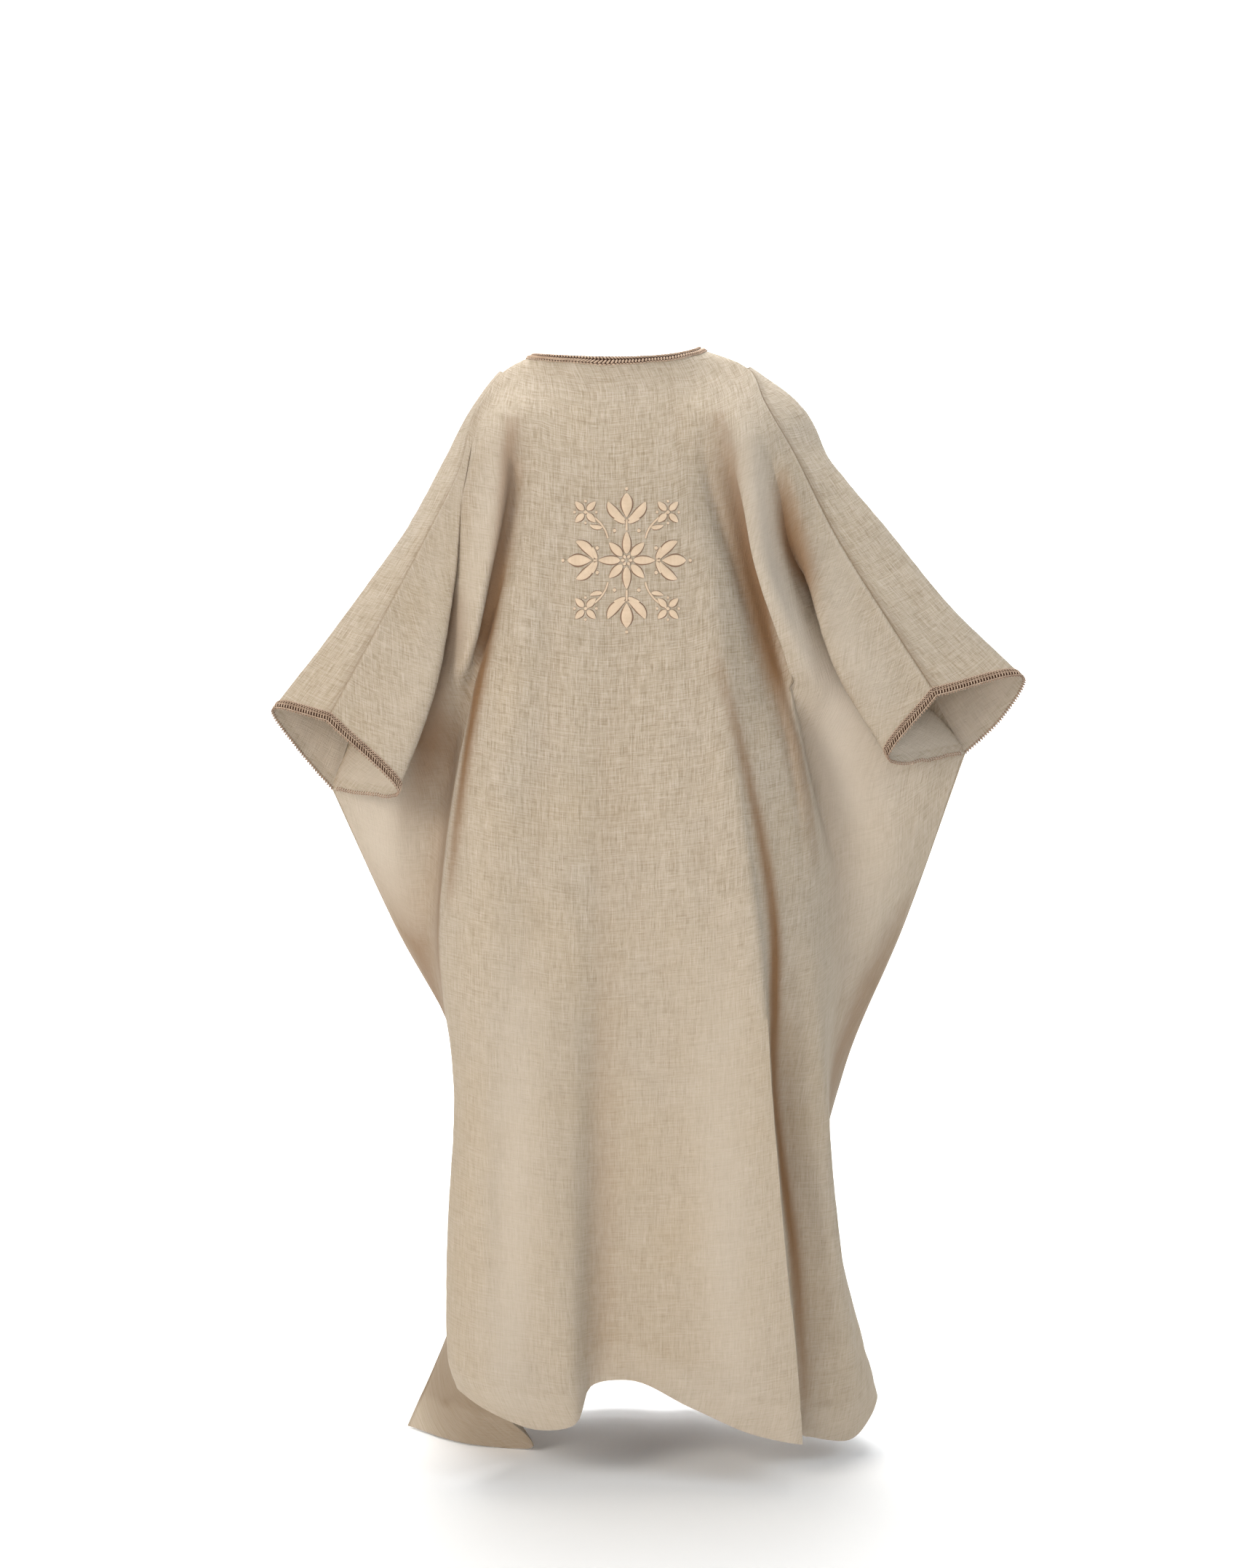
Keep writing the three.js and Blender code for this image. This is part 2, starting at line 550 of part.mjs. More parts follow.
// A braid through its stations, closed into a ring or with flat ends.
function braid(name, stations, ring) {
  const vertices = stations.flat();
  const size = BRAID_OUTLINE.length;
  const faces = [];
  const count = stations.length;
  for (let s = 0; s < (ring ? count : count - 1); s++) {
    const [a, b] = [s * size, ((s + 1) % count) * size];
    for (let k = 0; k < size; k++) {
      const next = (k + 1) % size;
      faces.push([a + k, a + next, b + next], [a + k, b + next, b + k]);
    }
  }
  if (!ring) {
    const last = (count - 1) * size;
    for (let k = 1; k + 1 < size; k++) faces.push([0, k + 1, k], [last, last + k, last + k + 1]);
  }
  return meshFrom(name, vertices, faces, BRAID);
}

function neckBraid(back, front) {
  const stations = [];
  for (let c = 0; c <= back.cols; c++) stations.push(braidStation(back, [0, c], [1, 0], NECK_BRAID));
  for (let c = front.cols - 1; c > 0; c--) stations.push(braidStation(front, [0, c], [1, 0], NECK_BRAID));
  return braid('neck_braid', stations, true);
}

// Round the hand's opening: from the fork of the side seam under the flap, up the back
// edge of the sleeve to the band, and over the band to the fork again.
function cuffBraid(side, back, band) {
  const [fork, seam] = side === 'left' ? [colOf.side_left, 0] : [colOf.side_right, backCols];
  const way = Math.sign(seam - fork);
  const [hem, above] = [rowAt.cuff, rowAt.cuff - 1];
  const next = fork + way;
  const share = CUFF_BRAID.startFromFork / back.points[hem][fork].distanceTo(back.points[hem][next]);
  const nearFork = (row) => mix(back.points[row][fork], back.points[row][next], share);
  const stations = [
    station(nearFork(hem), nearFork(above), back.normals[hem][next], back.normals[above][next], CUFF_BRAID),
  ];
  for (let c = next; c !== seam; c += way) stations.push(braidStation(back, [hem, c], [-1, 0], CUFF_BRAID));
  for (let c = 0; c <= band.cols; c++) stations.push(braidStation(band, [armRows, c], [-1, 0], CUFF_BRAID));
  return braid(`cuff_braid_${side}`, stations, false);
}

// ---- Assembly -------------------------------------------------------------------------

const backOutline = backPoints();
const bandOutline = {
  left: bandPoints('left', backOutline),
  right: bandPoints('right', backOutline),
};
const frontOutline = frontPoints(backOutline, bandOutline);

const isBackCloth = (r, c) => r < rowAt.cuff || (c >= colOf.side_left && c < colOf.side_right);
const back = panel(backOutline, 1, isBackCloth);
const front = panel(frontOutline, -1);
const bands = { left: panel(bandOutline.left, -1), right: panel(bandOutline.right, 1) };

// `inward` is the way along a row from the wearer's side to the middle.
const sides = [
  { side: 'left', seamCol: 0, sideCol: colOf.side_left, frontCol: 0, inward: 1 },
  { side: 'right', seamCol: backCols, sideCol: colOf.side_right, frontCol: front.cols, inward: -1 },
];

for (const { side, seamCol, sideCol, frontCol, inward } of sides) {
  const band = bands[side];
  const foreCol = band.cols;
  const frontRow = (r) => r + END_ROWS; // row of the front level with row r of the back, below the yoke
  const onBack = (r) => ({ grid: back, at: [r, seamCol], step: [0, inward] });
  const onFront = (r) => ({ grid: front, at: [r, frontCol], step: [0, inward] });
  const onBand = (r, c, dr, dc) => ({ grid: band, at: [r, c], step: [dr, dc] });
  const seams = [];
  for (let r = 0; r < rowAt.yoke; r++) seams.push([onBack(r), onFront(r)]);
  seams.push([onBack(rowAt.yoke), onFront(rowAt.yoke), onBand(0, 0, 1, 1)]);
  seams.push([onBand(0, BAND_CELLS.back, 1, 0), onFront(rowAt.yoke + 1)]);
  seams.push([onBand(0, foreCol, 1, -1), onFront(frontRow(rowAt.yoke))]);
  for (let k = 1; k <= armRows; k++) {
    seams.push([onBack(rowAt.yoke + k), onBand(k, 0, 0, 1)]);
    if (k < armRows) seams.push([onBand(k, foreCol, 0, -1), onFront(frontRow(rowAt.yoke + k))]);
  }
  const fork = [onBand(armRows, foreCol, 0, -1), onFront(frontRow(rowAt.cuff))];
  seams.push(fork);
  seams.forEach(sewFlat);
  seams.forEach(drawBack);
  straighten(band, 0, BAND_CELLS.back);
  straighten(band, BAND_CELLS.back, foreCol);
  for (let r = rowAt.cuff; r <= rowAt.hem; r++) {
    const others = r === rowAt.cuff ? [fork[0]] : [];
    sewSide(back, [r, sideCol], front, [frontRow(r), frontCol], others);
  }
}

const abaya = new THREE.Group();
abaya.add(
  clothWall('back_panel', back),
  clothWall('front_panel', front),
  clothWall('sleeve_band_left', bands.left),
  clothWall('sleeve_band_right', bands.right),
  neckBraid(back, front),
  cuffBraid('left', back, bands.left),
  cuffBraid('right', back, bands.right),
);

export default abaya;
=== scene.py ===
"""Visual model of a wide-sleeved linen abaya, hanging as it does when worn.

The garment is stitched together from a back panel, a front panel and one band over each shoulder
and arm, with a braid round the neck and round each cuff and an embroidered ornament between
the shoulder blades. Lengths in the tables are millimetres, in the frame of the CAD model:
+X the wearer's right, +Y the way the wearer faces, +Z up, origin at the base of the neck.
"""

from dataclasses import dataclass

import bpy
import numpy as np
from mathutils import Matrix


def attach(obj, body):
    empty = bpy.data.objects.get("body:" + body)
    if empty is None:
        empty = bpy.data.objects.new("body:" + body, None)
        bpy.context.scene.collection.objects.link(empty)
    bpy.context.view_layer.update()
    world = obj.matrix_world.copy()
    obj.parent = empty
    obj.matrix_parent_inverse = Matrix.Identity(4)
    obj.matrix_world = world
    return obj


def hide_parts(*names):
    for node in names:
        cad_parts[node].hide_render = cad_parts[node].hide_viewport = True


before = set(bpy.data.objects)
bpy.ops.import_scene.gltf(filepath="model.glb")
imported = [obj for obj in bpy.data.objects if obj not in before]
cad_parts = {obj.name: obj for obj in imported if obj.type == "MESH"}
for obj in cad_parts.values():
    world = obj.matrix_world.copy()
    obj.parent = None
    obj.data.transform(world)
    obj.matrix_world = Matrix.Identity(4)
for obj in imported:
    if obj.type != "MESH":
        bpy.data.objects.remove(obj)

bl_info = {
    "name": "Wide-sleeved linen abaya",
    "version": (1, 0, 0),
    "blender": (4, 5, 0),
    "location": "3D Viewport > Sidebar > Abaya",
    "description": "Builds the panels, braids, ornament and studio of a worn linen abaya",
    "category": "Add Mesh",
}

MM = 0.001

# ---- Cut and drape ----------------------------------------------------------------------

NECK = dict(half_width=114, side_y=-15, back_depth=66, front_depth=88,
            left_z=1, right_z=11, back_z=-8, front_z=-74, arch=1.4)

# Height of each level on the middle of the back, and the rows of cells above it here.
LEVELS = dict(neck=(-15, 0), yoke=(-50, 5), shoulder=(-86, 6), blade=(-186, 16), chest=(-300, 19),
              elbow=(-415, 19), cuff=(-556, 24), hip=(-788, 32), thigh=(-1012, 28),
              shin=(-1265, 30), low=(-1378, 16), hem=(-1450, 14))
NAMES = list(LEVELS)
CUFF = NAMES.index("cuff")

# Fold lines of the back from the wearer's left band seam to the right one. Each level gives
# (x, y) or (x, y, z). The lines of the sleeve flaps end at the cuff.
BACK_FOLDS = dict([
    ("seam_left", dict(yoke=(-158, -30, -23), shoulder=(-185, -60, -63), blade=(-214, -85, -157),
        chest=(-255, -105, -245), elbow=(-320, -130, -371), cuff=(-392, -150, -505))),
    ("flap_left", dict(yoke=(-152, -40, -27), shoulder=(-178, -72, -76), blade=(-207, -104),
        chest=(-218, -122, -312), elbow=(-243, -138, -455), cuff=(-296, -140, -604))),
    ("side_left", dict(yoke=(-143, -49, -33), shoulder=(-174, -82, -82), blade=(-212, -90),
        chest=(-238, -78, -302), elbow=(-318, -34, -447), cuff=(-395, -60, -604),
        hip=(-316, 15, -803), thigh=(-214, 30), shin=(-226, 36), low=(-244, 42, -1396),
        hem=(-304, 45, -1538))),
    ("wing_left", dict(yoke=(-132, -58, -38), shoulder=(-164, -92), blade=(-202, -114),
        chest=(-217, -114), elbow=(-246, -98, -421), cuff=(-305, -70, -588), hip=(-292, -14, -801),
        thigh=(-216, -16), shin=(-214, -22), low=(-222, -26, -1420), hem=(-212, -36, -1538))),
    ("fold_left", dict(yoke=(-117, -67, -43), shoulder=(-142, -100), blade=(-154, -132),
        chest=(-168, -142), elbow=(-188, -128, -421), cuff=(-224, -66), hip=(-262, -44, -798),
        thigh=(-216, -74), shin=(-204, -82), low=(-170, -78, -1430), hem=(-120, -62, -1536))),
    ("edge_left", dict(yoke=(-102, -75, -46), shoulder=(-111, -105), blade=(-130, -124),
        chest=(-148, -128), elbow=(-184, -124), cuff=(-206, -136), hip=(-231, -142),
        thigh=(-219, -152), shin=(-230, -167), low=(-227, -177), hem=(-211, -184, -1418))),
    ("dip_left", dict(yoke=(-90, -80, -48), shoulder=(-98, -106), blade=(-113, -135),
        chest=(-132, -146), elbow=(-162, -146), cuff=(-184, -158), hip=(-207, -166),
        thigh=(-203, -178), shin=(-212, -192), low=(-212, -202), hem=(-190, -202, -1429))),
    ("ridge_left", dict(yoke=(-77, -85, -49), shoulder=(-85, -107), blade=(-97, -142),
        chest=(-114, -156), elbow=(-138, -166), cuff=(-158, -172), hip=(-180, -182),
        thigh=(-180, -194), shin=(-186, -208), low=(-184, -215), hem=(-162, -215, -1441))),
    ("mid_left", dict(yoke=(-51, -90), shoulder=(-58, -110), blade=(-62, -148), chest=(-72, -160),
        elbow=(-86, -168), cuff=(-98, -173), hip=(-112, -181), thigh=(-116, -195), shin=(-116, -210),
        low=(-110, -217), hem=(-100, -219, -1461))),
    ("crest", dict(yoke=(-28, -93), shoulder=(-30, -112), blade=(-28, -150), chest=(-32, -162),
        elbow=(-40, -168), cuff=(-46, -172), hip=(-54, -180), thigh=(-58, -192), shin=(-58, -208),
        low=(-57, -216), hem=(-55, -220, -1453))),
    ("recess", dict(yoke=(-8, -94), shoulder=(-8, -112), blade=(-5, -150), chest=(-8, -161),
        elbow=(-12, -166), cuff=(-18, -168), hip=(-22, -172), thigh=(-26, -178), shin=(-31, -184),
        low=(-33, -188), hem=(-34, -192, -1409))),
    ("centre", dict(yoke=(14, -94), shoulder=(16, -112), blade=(18, -150), chest=(18, -161),
        elbow=(18, -166), cuff=(16, -168), hip=(16, -172), thigh=(16, -178), shin=(16, -182),
        low=(15, -185), hem=(14, -186, -1402))),
    ("mid_right", dict(yoke=(38, -92), shoulder=(42, -111), blade=(46, -149), chest=(54, -161),
        elbow=(62, -168), cuff=(68, -172), hip=(80, -179), thigh=(88, -188), shin=(96, -198),
        low=(100, -202), hem=(102, -204, -1435))),
    ("far_right", dict(yoke=(60, -88, -48), shoulder=(64, -108), blade=(74, -146), chest=(92, -159),
        elbow=(106, -169), cuff=(116, -177), hip=(140, -186), thigh=(154, -199), shin=(170, -213),
        low=(182, -221), hem=(192, -223, -1468))),
    ("ridge_right", dict(yoke=(80, -82, -46), shoulder=(83, -105), blade=(98, -141),
        chest=(126, -155), elbow=(144, -166), cuff=(160, -176), hip=(195, -187),
        thigh=(212, -201), shin=(235, -217), low=(246, -224), hem=(251, -228, -1478))),
    ("dip_right", dict(yoke=(93, -77, -43), shoulder=(98, -105), blade=(113, -134),
        chest=(144, -144), elbow=(170, -146), cuff=(190, -156), hip=(224, -150),
        thigh=(226, -122), shin=(246, -132), low=(252, -136), hem=(261, -137, -1496))),
    ("edge_right", dict(yoke=(106, -72, -40), shoulder=(114, -104), blade=(130, -122),
        chest=(166, -120), elbow=(204, -116), cuff=(238, -120), hip=(266, -117),
        thigh=(286, -117), shin=(314, -108), low=(334, -102), hem=(331, -97, -1511))),
    ("fold_right", dict(yoke=(127, -61, -34), shoulder=(146, -99), blade=(165, -132),
        chest=(190, -142), elbow=(231, -128, -421), cuff=(262, -72), hip=(322, -46, -796),
        thigh=(298, -60), shin=(318, -58), low=(346, -55), hem=(370, -45, -1466))),
    ("wing_right", dict(yoke=(149, -48, -28), shoulder=(178, -92), blade=(206, -114),
        chest=(230, -114), elbow=(303, -98, -421), cuff=(376, -76, -567), hip=(375, -22, -800),
        thigh=(308, -16), shin=(310, -5), low=(334, 0), hem=(350, 14, -1470))),
    ("side_right", dict(yoke=(162, -40, -24), shoulder=(189, -84, -82), blade=(221, -100, -183),
        chest=(248, -94, -290), elbow=(350, -42, -412), cuff=(486, -60, -554), hip=(410, 10, -802),
        thigh=(327, 24), shin=(284, 44), low=(310, 52), hem=(320, 60, -1485))),
    ("flap_right", dict(yoke=(175, -32, -19), shoulder=(198, -74, -75), blade=(231, -102, -178),
        chest=(256, -122, -293), elbow=(295, -138, -425), cuff=(371, -140, -556))),
    ("seam_right", dict(yoke=(184, -25, -17), shoulder=(204, -60, -63), blade=(245, -85, -139),
        chest=(302, -105, -255), elbow=(365, -130, -360), cuff=(435, -150, -471))),
])
LINES = list(BACK_FOLDS)
SIDE_LEFT, SIDE_RIGHT = LINES.index("side_left"), LINES.index("side_right")

# Cells between each fold line and the next: in the CAD panel and in this one.
CAD_CELLS = (3, 3, 3, 2, 2, 2, 1, 2, 1, 1, 1, 2, 2, 1, 2, 2, 2, 2, 3, 3, 3)
BACK_CELLS = (20, 18, 14, 12, 12, 6, 5, 9, 7, 5, 7, 8, 8, 6, 7, 10, 12, 14, 18, 20, 20)

# Lines of each band in front of its back seam; "yoke" is its end on the shoulder.
BAND_LINES = dict(
    left=(
        dict(yoke=(-164, 0, -20), shoulder=(-197, -5, -64), blade=(-237, -20, -139),
             chest=(-287, -50, -238), elbow=(-374, -80, -362), cuff=(-471, -110, -492)),
        dict(yoke=(-166, 15, -25), shoulder=(-200, 34, -76), blade=(-245, 18, -158),
             chest=(-301, -8, -264), elbow=(-384, -40, -398), cuff=(-440, -76, -548)),
        dict(yoke=(-167, 30, -30), shoulder=(-190, 55, -96), blade=(-228, 44, -190),
             chest=(-276, 20, -305), elbow=(-345, -10, -448), cuff=(-395, -60, -604)),
    ),
    right=(
        dict(yoke=(188, 2, -13), shoulder=(243, -5, -53), blade=(298, -20, -143),
             chest=(372, -50, -237), elbow=(458, -80, -346), cuff=(560, -110, -451)),
        dict(yoke=(189, 16, -18), shoulder=(246, 35, -67), blade=(304, 20, -161),
             chest=(380, -8, -264), elbow=(460, -38, -384), cuff=(533, -78, -505)),
        dict(yoke=(190, 30, -23), shoulder=(228, 58, -90), blade=(276, 46, -190),
             chest=(340, 22, -300), elbow=(418, -6, -425), cuff=(486, -60, -554)),
    ),
)
BAND_CELLS = (18, 14, 16)

# Middle of the front: level, height, how far forward it hangs, how deep its folds are.
FRONT_MIDDLE = (
    ("neck", -74, 73, 0), ("yoke", -96, 82, 0), ("end", -112, 88, 0), ("shoulder", -140, 97, 0),
    ("blade", -215, 112, 2), ("chest", -315, 120, 4), ("elbow", -425, 121, 6), ("cuff", -562, 120, 8),
    ("hip", -788, 126, 11), ("thigh", -1010, 132, 14), ("shin", -1262, 140, 17),
    ("low", -1380, 144, 19), ("hem", -1478, 147, 20),
)
FRONT = dict(middle_x=6, chest_half_width=90, hang_share=0.64, hang_chest=165, hang_hem=235,
             hang_limit=0.8, flare=1.15, slope=1.6, fold_waves=3.1, skew=0.35, end_rows=8,
             columns=130, crowding=1.3)
# Rows of the CAD's front at the first rows of this table, and where it hangs freely.
FRONT_CAD_ROWS, FRONT_FREE_ROW = (0, 2, 4, 5, 7), 5

# How far back and front stand off the side seam between them, and how wide that reaches.
SIDE_GAP, SIDE_REACH = 1.2, 5

# Seams in mm: the groove, the dark line at the stitches (painted shade of the groove), place and width
# of the ridge on the flap, the turned-in allowance on the band, and place and width of the swell past
# it.
SEAM = dict(groove=2.0, line=1.3, ridge_at=4.5, ridge=2.2, allowance=8, swell_at=27, swell=8)
# How much of a seam's tone, its painted shade and painted highlights, shows on each panel's seams.
SEAM_DARKNESS = dict(back_left=0.6, back_right=1.0, front=0.5, left=0.6, right=1.0)
# Turned-in edge inside a sleeve, in mm: its width, its line of stitches, and the pale fold.
CUFF_TURN = dict(width=13, line_at=14, line=1.4, fold=1.5)
# Waves of a sleeve's lower edge: height and length along the edge in mm, and random seed.
# They reach this far up the cloth, and this many fold lines from the side line.
CUFF_WAVES = ((1.7, 13, 91), (0.8, 5, 92))
CUFF_WAVE_REACH, UNDERSIDE = 9, 1.15
# Random seeds of the wrinkles, and how far from a seam they have their full height.
WRINKLE_SEEDS = dict(back=11, front=37, left=53, right=71)
WRINKLE_REACH = 14

# Rows of beads of a braid: how far into the cloth, half sizes along, across and up, lean,
# height above the cloth, and the number of their thread. A strip has its two edges and height.
TAN, GROUND, RIM = range(3)
NECK_STRIP = (0.4, 12.0, 0.7)
NECK_ROWS = (
    (2.4, (1.6, 2.4, 1.5), 0.8, 1.6, TAN),
    (8.6, (1.6, 3.0, 1.5), -0.7, 1.6, TAN),
    (12.6, (1.6, 1.3, 1.1), 0.4, 0.9, TAN),
)
CUFF_STRIP = (0.2, 12.8, 0.5)
CUFF_ROWS = (
    (-0.9, (1.25, 1.3, 1.1), 0.3, 0.1, RIM),
    (1.5, (1.2, 2.0, 0.8), 0.4, -1.5, RIM),
    (4.1, (0.95, 2.4, 1.0), 0.5, 1.2, TAN),
)
CUFF_HOOPS = dict(centre=9.6, half=(1.35, 2.2), strand=0.55, slant=-0.4, lift=1.2)
CUFF_CORDS = ((0.9, 0.65), (6.7, 0.4), (12.7, 0.55))
CORD_LIFT, CORD_WAVE = 0.9, 0.2

# Threads: name, light and dark colour, fibres a metre, roughness, sheen.
THREADS = (
    ("braid_thread", (0.60, 0.45, 0.33), (0.28, 0.18, 0.12), 900, 0.7, 0.3),
    ("braid_ground", (0.06, 0.028, 0.014), (0.03, 0.012, 0.006), 700, 0.95, 0.0),
    ("braid_rim", (0.42, 0.29, 0.20), (0.17, 0.10, 0.065), 900, 0.7, 0.3),
)
# The ornament lies this high on the cloth, near this level of the middle line.
STITCH_LIFT, ORNAMENT_LEVEL = 0.05, 3.9
# Size that the ornament is drawn at. A stroke has a brown edge outside its stitches, which
# start this far up, and the stitches take this share of the width.
DRAWN_WIDTH, DRAWN_HEIGHT = 190, 224
STROKE = dict(edge=0.9, foot=0.35, stitched=0.86)
SATIN = dict(cream=(0.70, 0.55, 0.40), shade=(0.50, 0.37, 0.25), outline=(0.17, 0.09, 0.05))

# The floor turns up into a wall. Lights: name, setting of the power, then place and aim,
# diameter in metres and tint. The camera looks down by the drop over the run.
SWEEP = dict(start=-6000, side=7000.0, radius=1200.0, wall=6200.0, top=6000)
LIGHTS = (
    ("key_light", "key", (-2.9, -3.0, 0.9), (0, 0, -0.7), 1.9, (1.0, 0.95, 0.87)),
    ("fill_light", "fill", (2.8, -1.8, 1.2), (0, 0, -0.6), 2.2, (0.82, 0.92, 1.0)),
    ("low_light", "low", (-0.5, -4.4, -1.0), (0.05, 0, -0.8), 2.4, (1.0, 0.92, 0.86)),
    ("backdrop_light", "back", (0, 0.9, 1.6), (0, 2.6, -0.6), 2.6, (1.0, 1.0, 1.0)),
    ("wall_light", "wall", (0, 4.0, 2.7), (0, 6.2, 0.1), 4.2, (1.0, 1.0, 1.0)),
)
SKY_COLOUR = (0.96, 0.985, 1.0, 1)
CAMERA = dict(place=(0.016, -3.6, -0.39), lens=58.46, sensor=36.0, drop=0.210, run=3.6)


# ---- Curves -----------------------------------------------------------------------------

def smooth(t):
    """Three t squared less two t cubed, for t held between 0 and 1."""
    t = np.clip(t, 0, 1)
    return t * t * (3 - 2 * t)


def hump(distance, width):
    """Bell of height 1: e to the minus square of distance over width."""
    return np.exp(-(distance / width) ** 2)


def spline(points, knots, where):
    """Smooth curves through points (n, m, 3) at knots (n, m), read at span + share.

    Cubic Hermite spans. The slope at a point is the mean of its two chords' slopes, each
    weighted by the width of the other, so that the nearer chord counts more.
    """
    width = np.diff(knots, axis=0)[..., None]
    chord = np.diff(points, axis=0) / width
    inner = (chord[:-1] * width[1:] + chord[1:] * width[:-1]) / (width[1:] + width[:-1])
    slope = np.concatenate([chord[:1], inner, chord[-1:]])
    span = np.minimum(where.astype(int), len(points) - 2)
    t = (where - span)[:, None, None]
    return (points[span] * (2 * t**3 - 3 * t**2 + 1)
            + slope[span] * (t**3 - 2 * t**2 + t) * width[span]
            + points[span + 1] * (3 * t**2 - 2 * t**3)
            + slope[span + 1] * (t**3 - t**2) * width[span])


def chord_knots(points):
    """Running sum of the distances between points along axis 0, each at least 1 mm."""
    lengths = np.maximum(np.linalg.norm(np.diff(points, axis=0), axis=-1), 1)
    return np.concatenate([np.zeros_like(lengths[:1]), np.cumsum(lengths, axis=0)])


def steps(cells, dense=()):
    """Span number plus share at each step; dense maps a span to the power of its shares.

    A power over 1 crowds the steps at the span's start, a negative one at its end.
    """
    out = [np.zeros(1)]
    for i, count in enumerate(cells):
        share = np.arange(1, count + 1) / count
        power = dict(dense).get(i, 1)
        out.append(i + (share**power if power > 0 else 1 - (1 - share) ** -power))
    return np.concatenate(out)


def curve_rows(rows, elbow):
    """The CAD's last row above the cuff is narrow: shares 0, 3/4 and 1 become 0, 0.88 and 1."""
    span = rows.astype(int)
    share = np.interp(rows - span, [0, 0.75, 1], [0, 0.88, 1])
    return np.where(span == elbow, span + share, rows)


def level_points(table, names):
    """Points (levels, 3) of a fold line; a level without a height takes the level's own."""
    return [(*table[name], LEVELS[name][0])[:3] for name in names]


def neck_point(turn, behind):
    """Neckline: a half ellipse behind or in front, turn 0 the wearer's left, 1 the right.

    x and y go by the cosine and sine of the turn's angle; the height goes from the side's
    to the middle's by the sine to the power of the arch.
    """
    angle = np.pi * (1 - turn)
    depth = -NECK["back_depth"] if behind else NECK["front_depth"]
    side = NECK["left_z"] + (NECK["right_z"] - NECK["left_z"]) * turn
    middle = NECK["back_z"] if behind else NECK["front_z"]
    drop = np.abs(np.sin(angle)) ** NECK["arch"]
    return np.stack([NECK["half_width"] * np.cos(angle), NECK["side_y"] + depth * np.sin(angle),
                     side + (middle - side) * drop], axis=-1)


# ---- Sheets -----------------------------------------------------------------------------

@dataclass
class Sheet:
    """Grid of a panel's outer face: points (R, C, 3) and flat cloth places (R, C, 2), mm.

    cloth (R - 1, C - 1) tells which cells are cloth, and outward is 1 or -1, the side to
    which the grid's own normals must be turned. The two tones of the outer and inner face are how
    much darker the sewing and painted shade make each face, paler below 0 by painted light, and deep
    is painted shade that adds to how deep a point lies in a fold.
    """
    points: np.ndarray
    cloth: np.ndarray
    outward: int
    flat: np.ndarray = None
    sewn: np.ndarray = 0.0
    inside_sewing_and_painted_light: np.ndarray = 0.0
    deep: np.ndarray = 0.0

    def normals(self):
        """Sum of the cross products of the diagonals of the cloth cells round a point."""
        p = self.points
        face = np.cross(p[1:, 1:] - p[:-1, :-1], p[:-1, 1:] - p[1:, :-1]) * self.outward
        face = face * self.cloth[..., None]
        total = np.zeros_like(p)
        for rows in (slice(None, -1), slice(1, None)):
            for cols in (slice(None, -1), slice(1, None)):
                total[rows, cols] += face
        return total / np.maximum(np.linalg.norm(total, axis=-1, keepdims=True), 1e-9)

    def lay_flat(self, middle):
        """Flat places: across, the length along the row from column `middle`; down, the
        length along the column."""
        p = self.points
        across = np.cumsum(np.linalg.norm(np.diff(p, axis=1), axis=-1), axis=1)
        across = np.concatenate([np.zeros((len(p), 1)), across], axis=1)
        across -= across[:, middle:middle + 1]
        down = np.cumsum(np.linalg.norm(np.diff(p, axis=0), axis=-1), axis=0)
        down = np.concatenate([np.zeros((1, p.shape[1])), down])
        self.flat = np.stack([across, down], axis=-1)

    def to_sides(self):
        """Lengths along the row to its first point and to its last."""
        across = self.flat[..., 0]
        return [np.abs(across - across[:, at:at + 1]) for at in (0, across.shape[1] - 1)]

    def to_end(self):
        """Length down the column to its last point."""
        down = self.flat[..., 1]
        return down[-1:] - down

    def raise_by(self, height):
        """Moves each point out along its normal by the height there."""
        self.points = self.points + self.normals() * height[..., None]


def whole_sheet(points, outward):
    """Sheet whose cells are all cloth, laid flat from its middle column."""
    sheet = Sheet(points, np.ones((len(points) - 1, points.shape[1] - 1), bool), outward)
    sheet.lay_flat(points.shape[1] // 2)
    return sheet


ROWS = steps([cells for _, cells in LEVELS.values()][1:], dense=((len(NAMES) - 2, -1.4),))
COLUMNS = steps(BACK_CELLS, dense=((0, 1.5), (len(BACK_CELLS) - 1, -1.5)))
LINE_TURNS = np.concatenate([[0], np.cumsum(CAD_CELLS)]) / sum(CAD_CELLS)


def column_of(line):
    """Number of the column on a fold line."""
    return int(np.searchsorted(COLUMNS, LINES.index(line)))


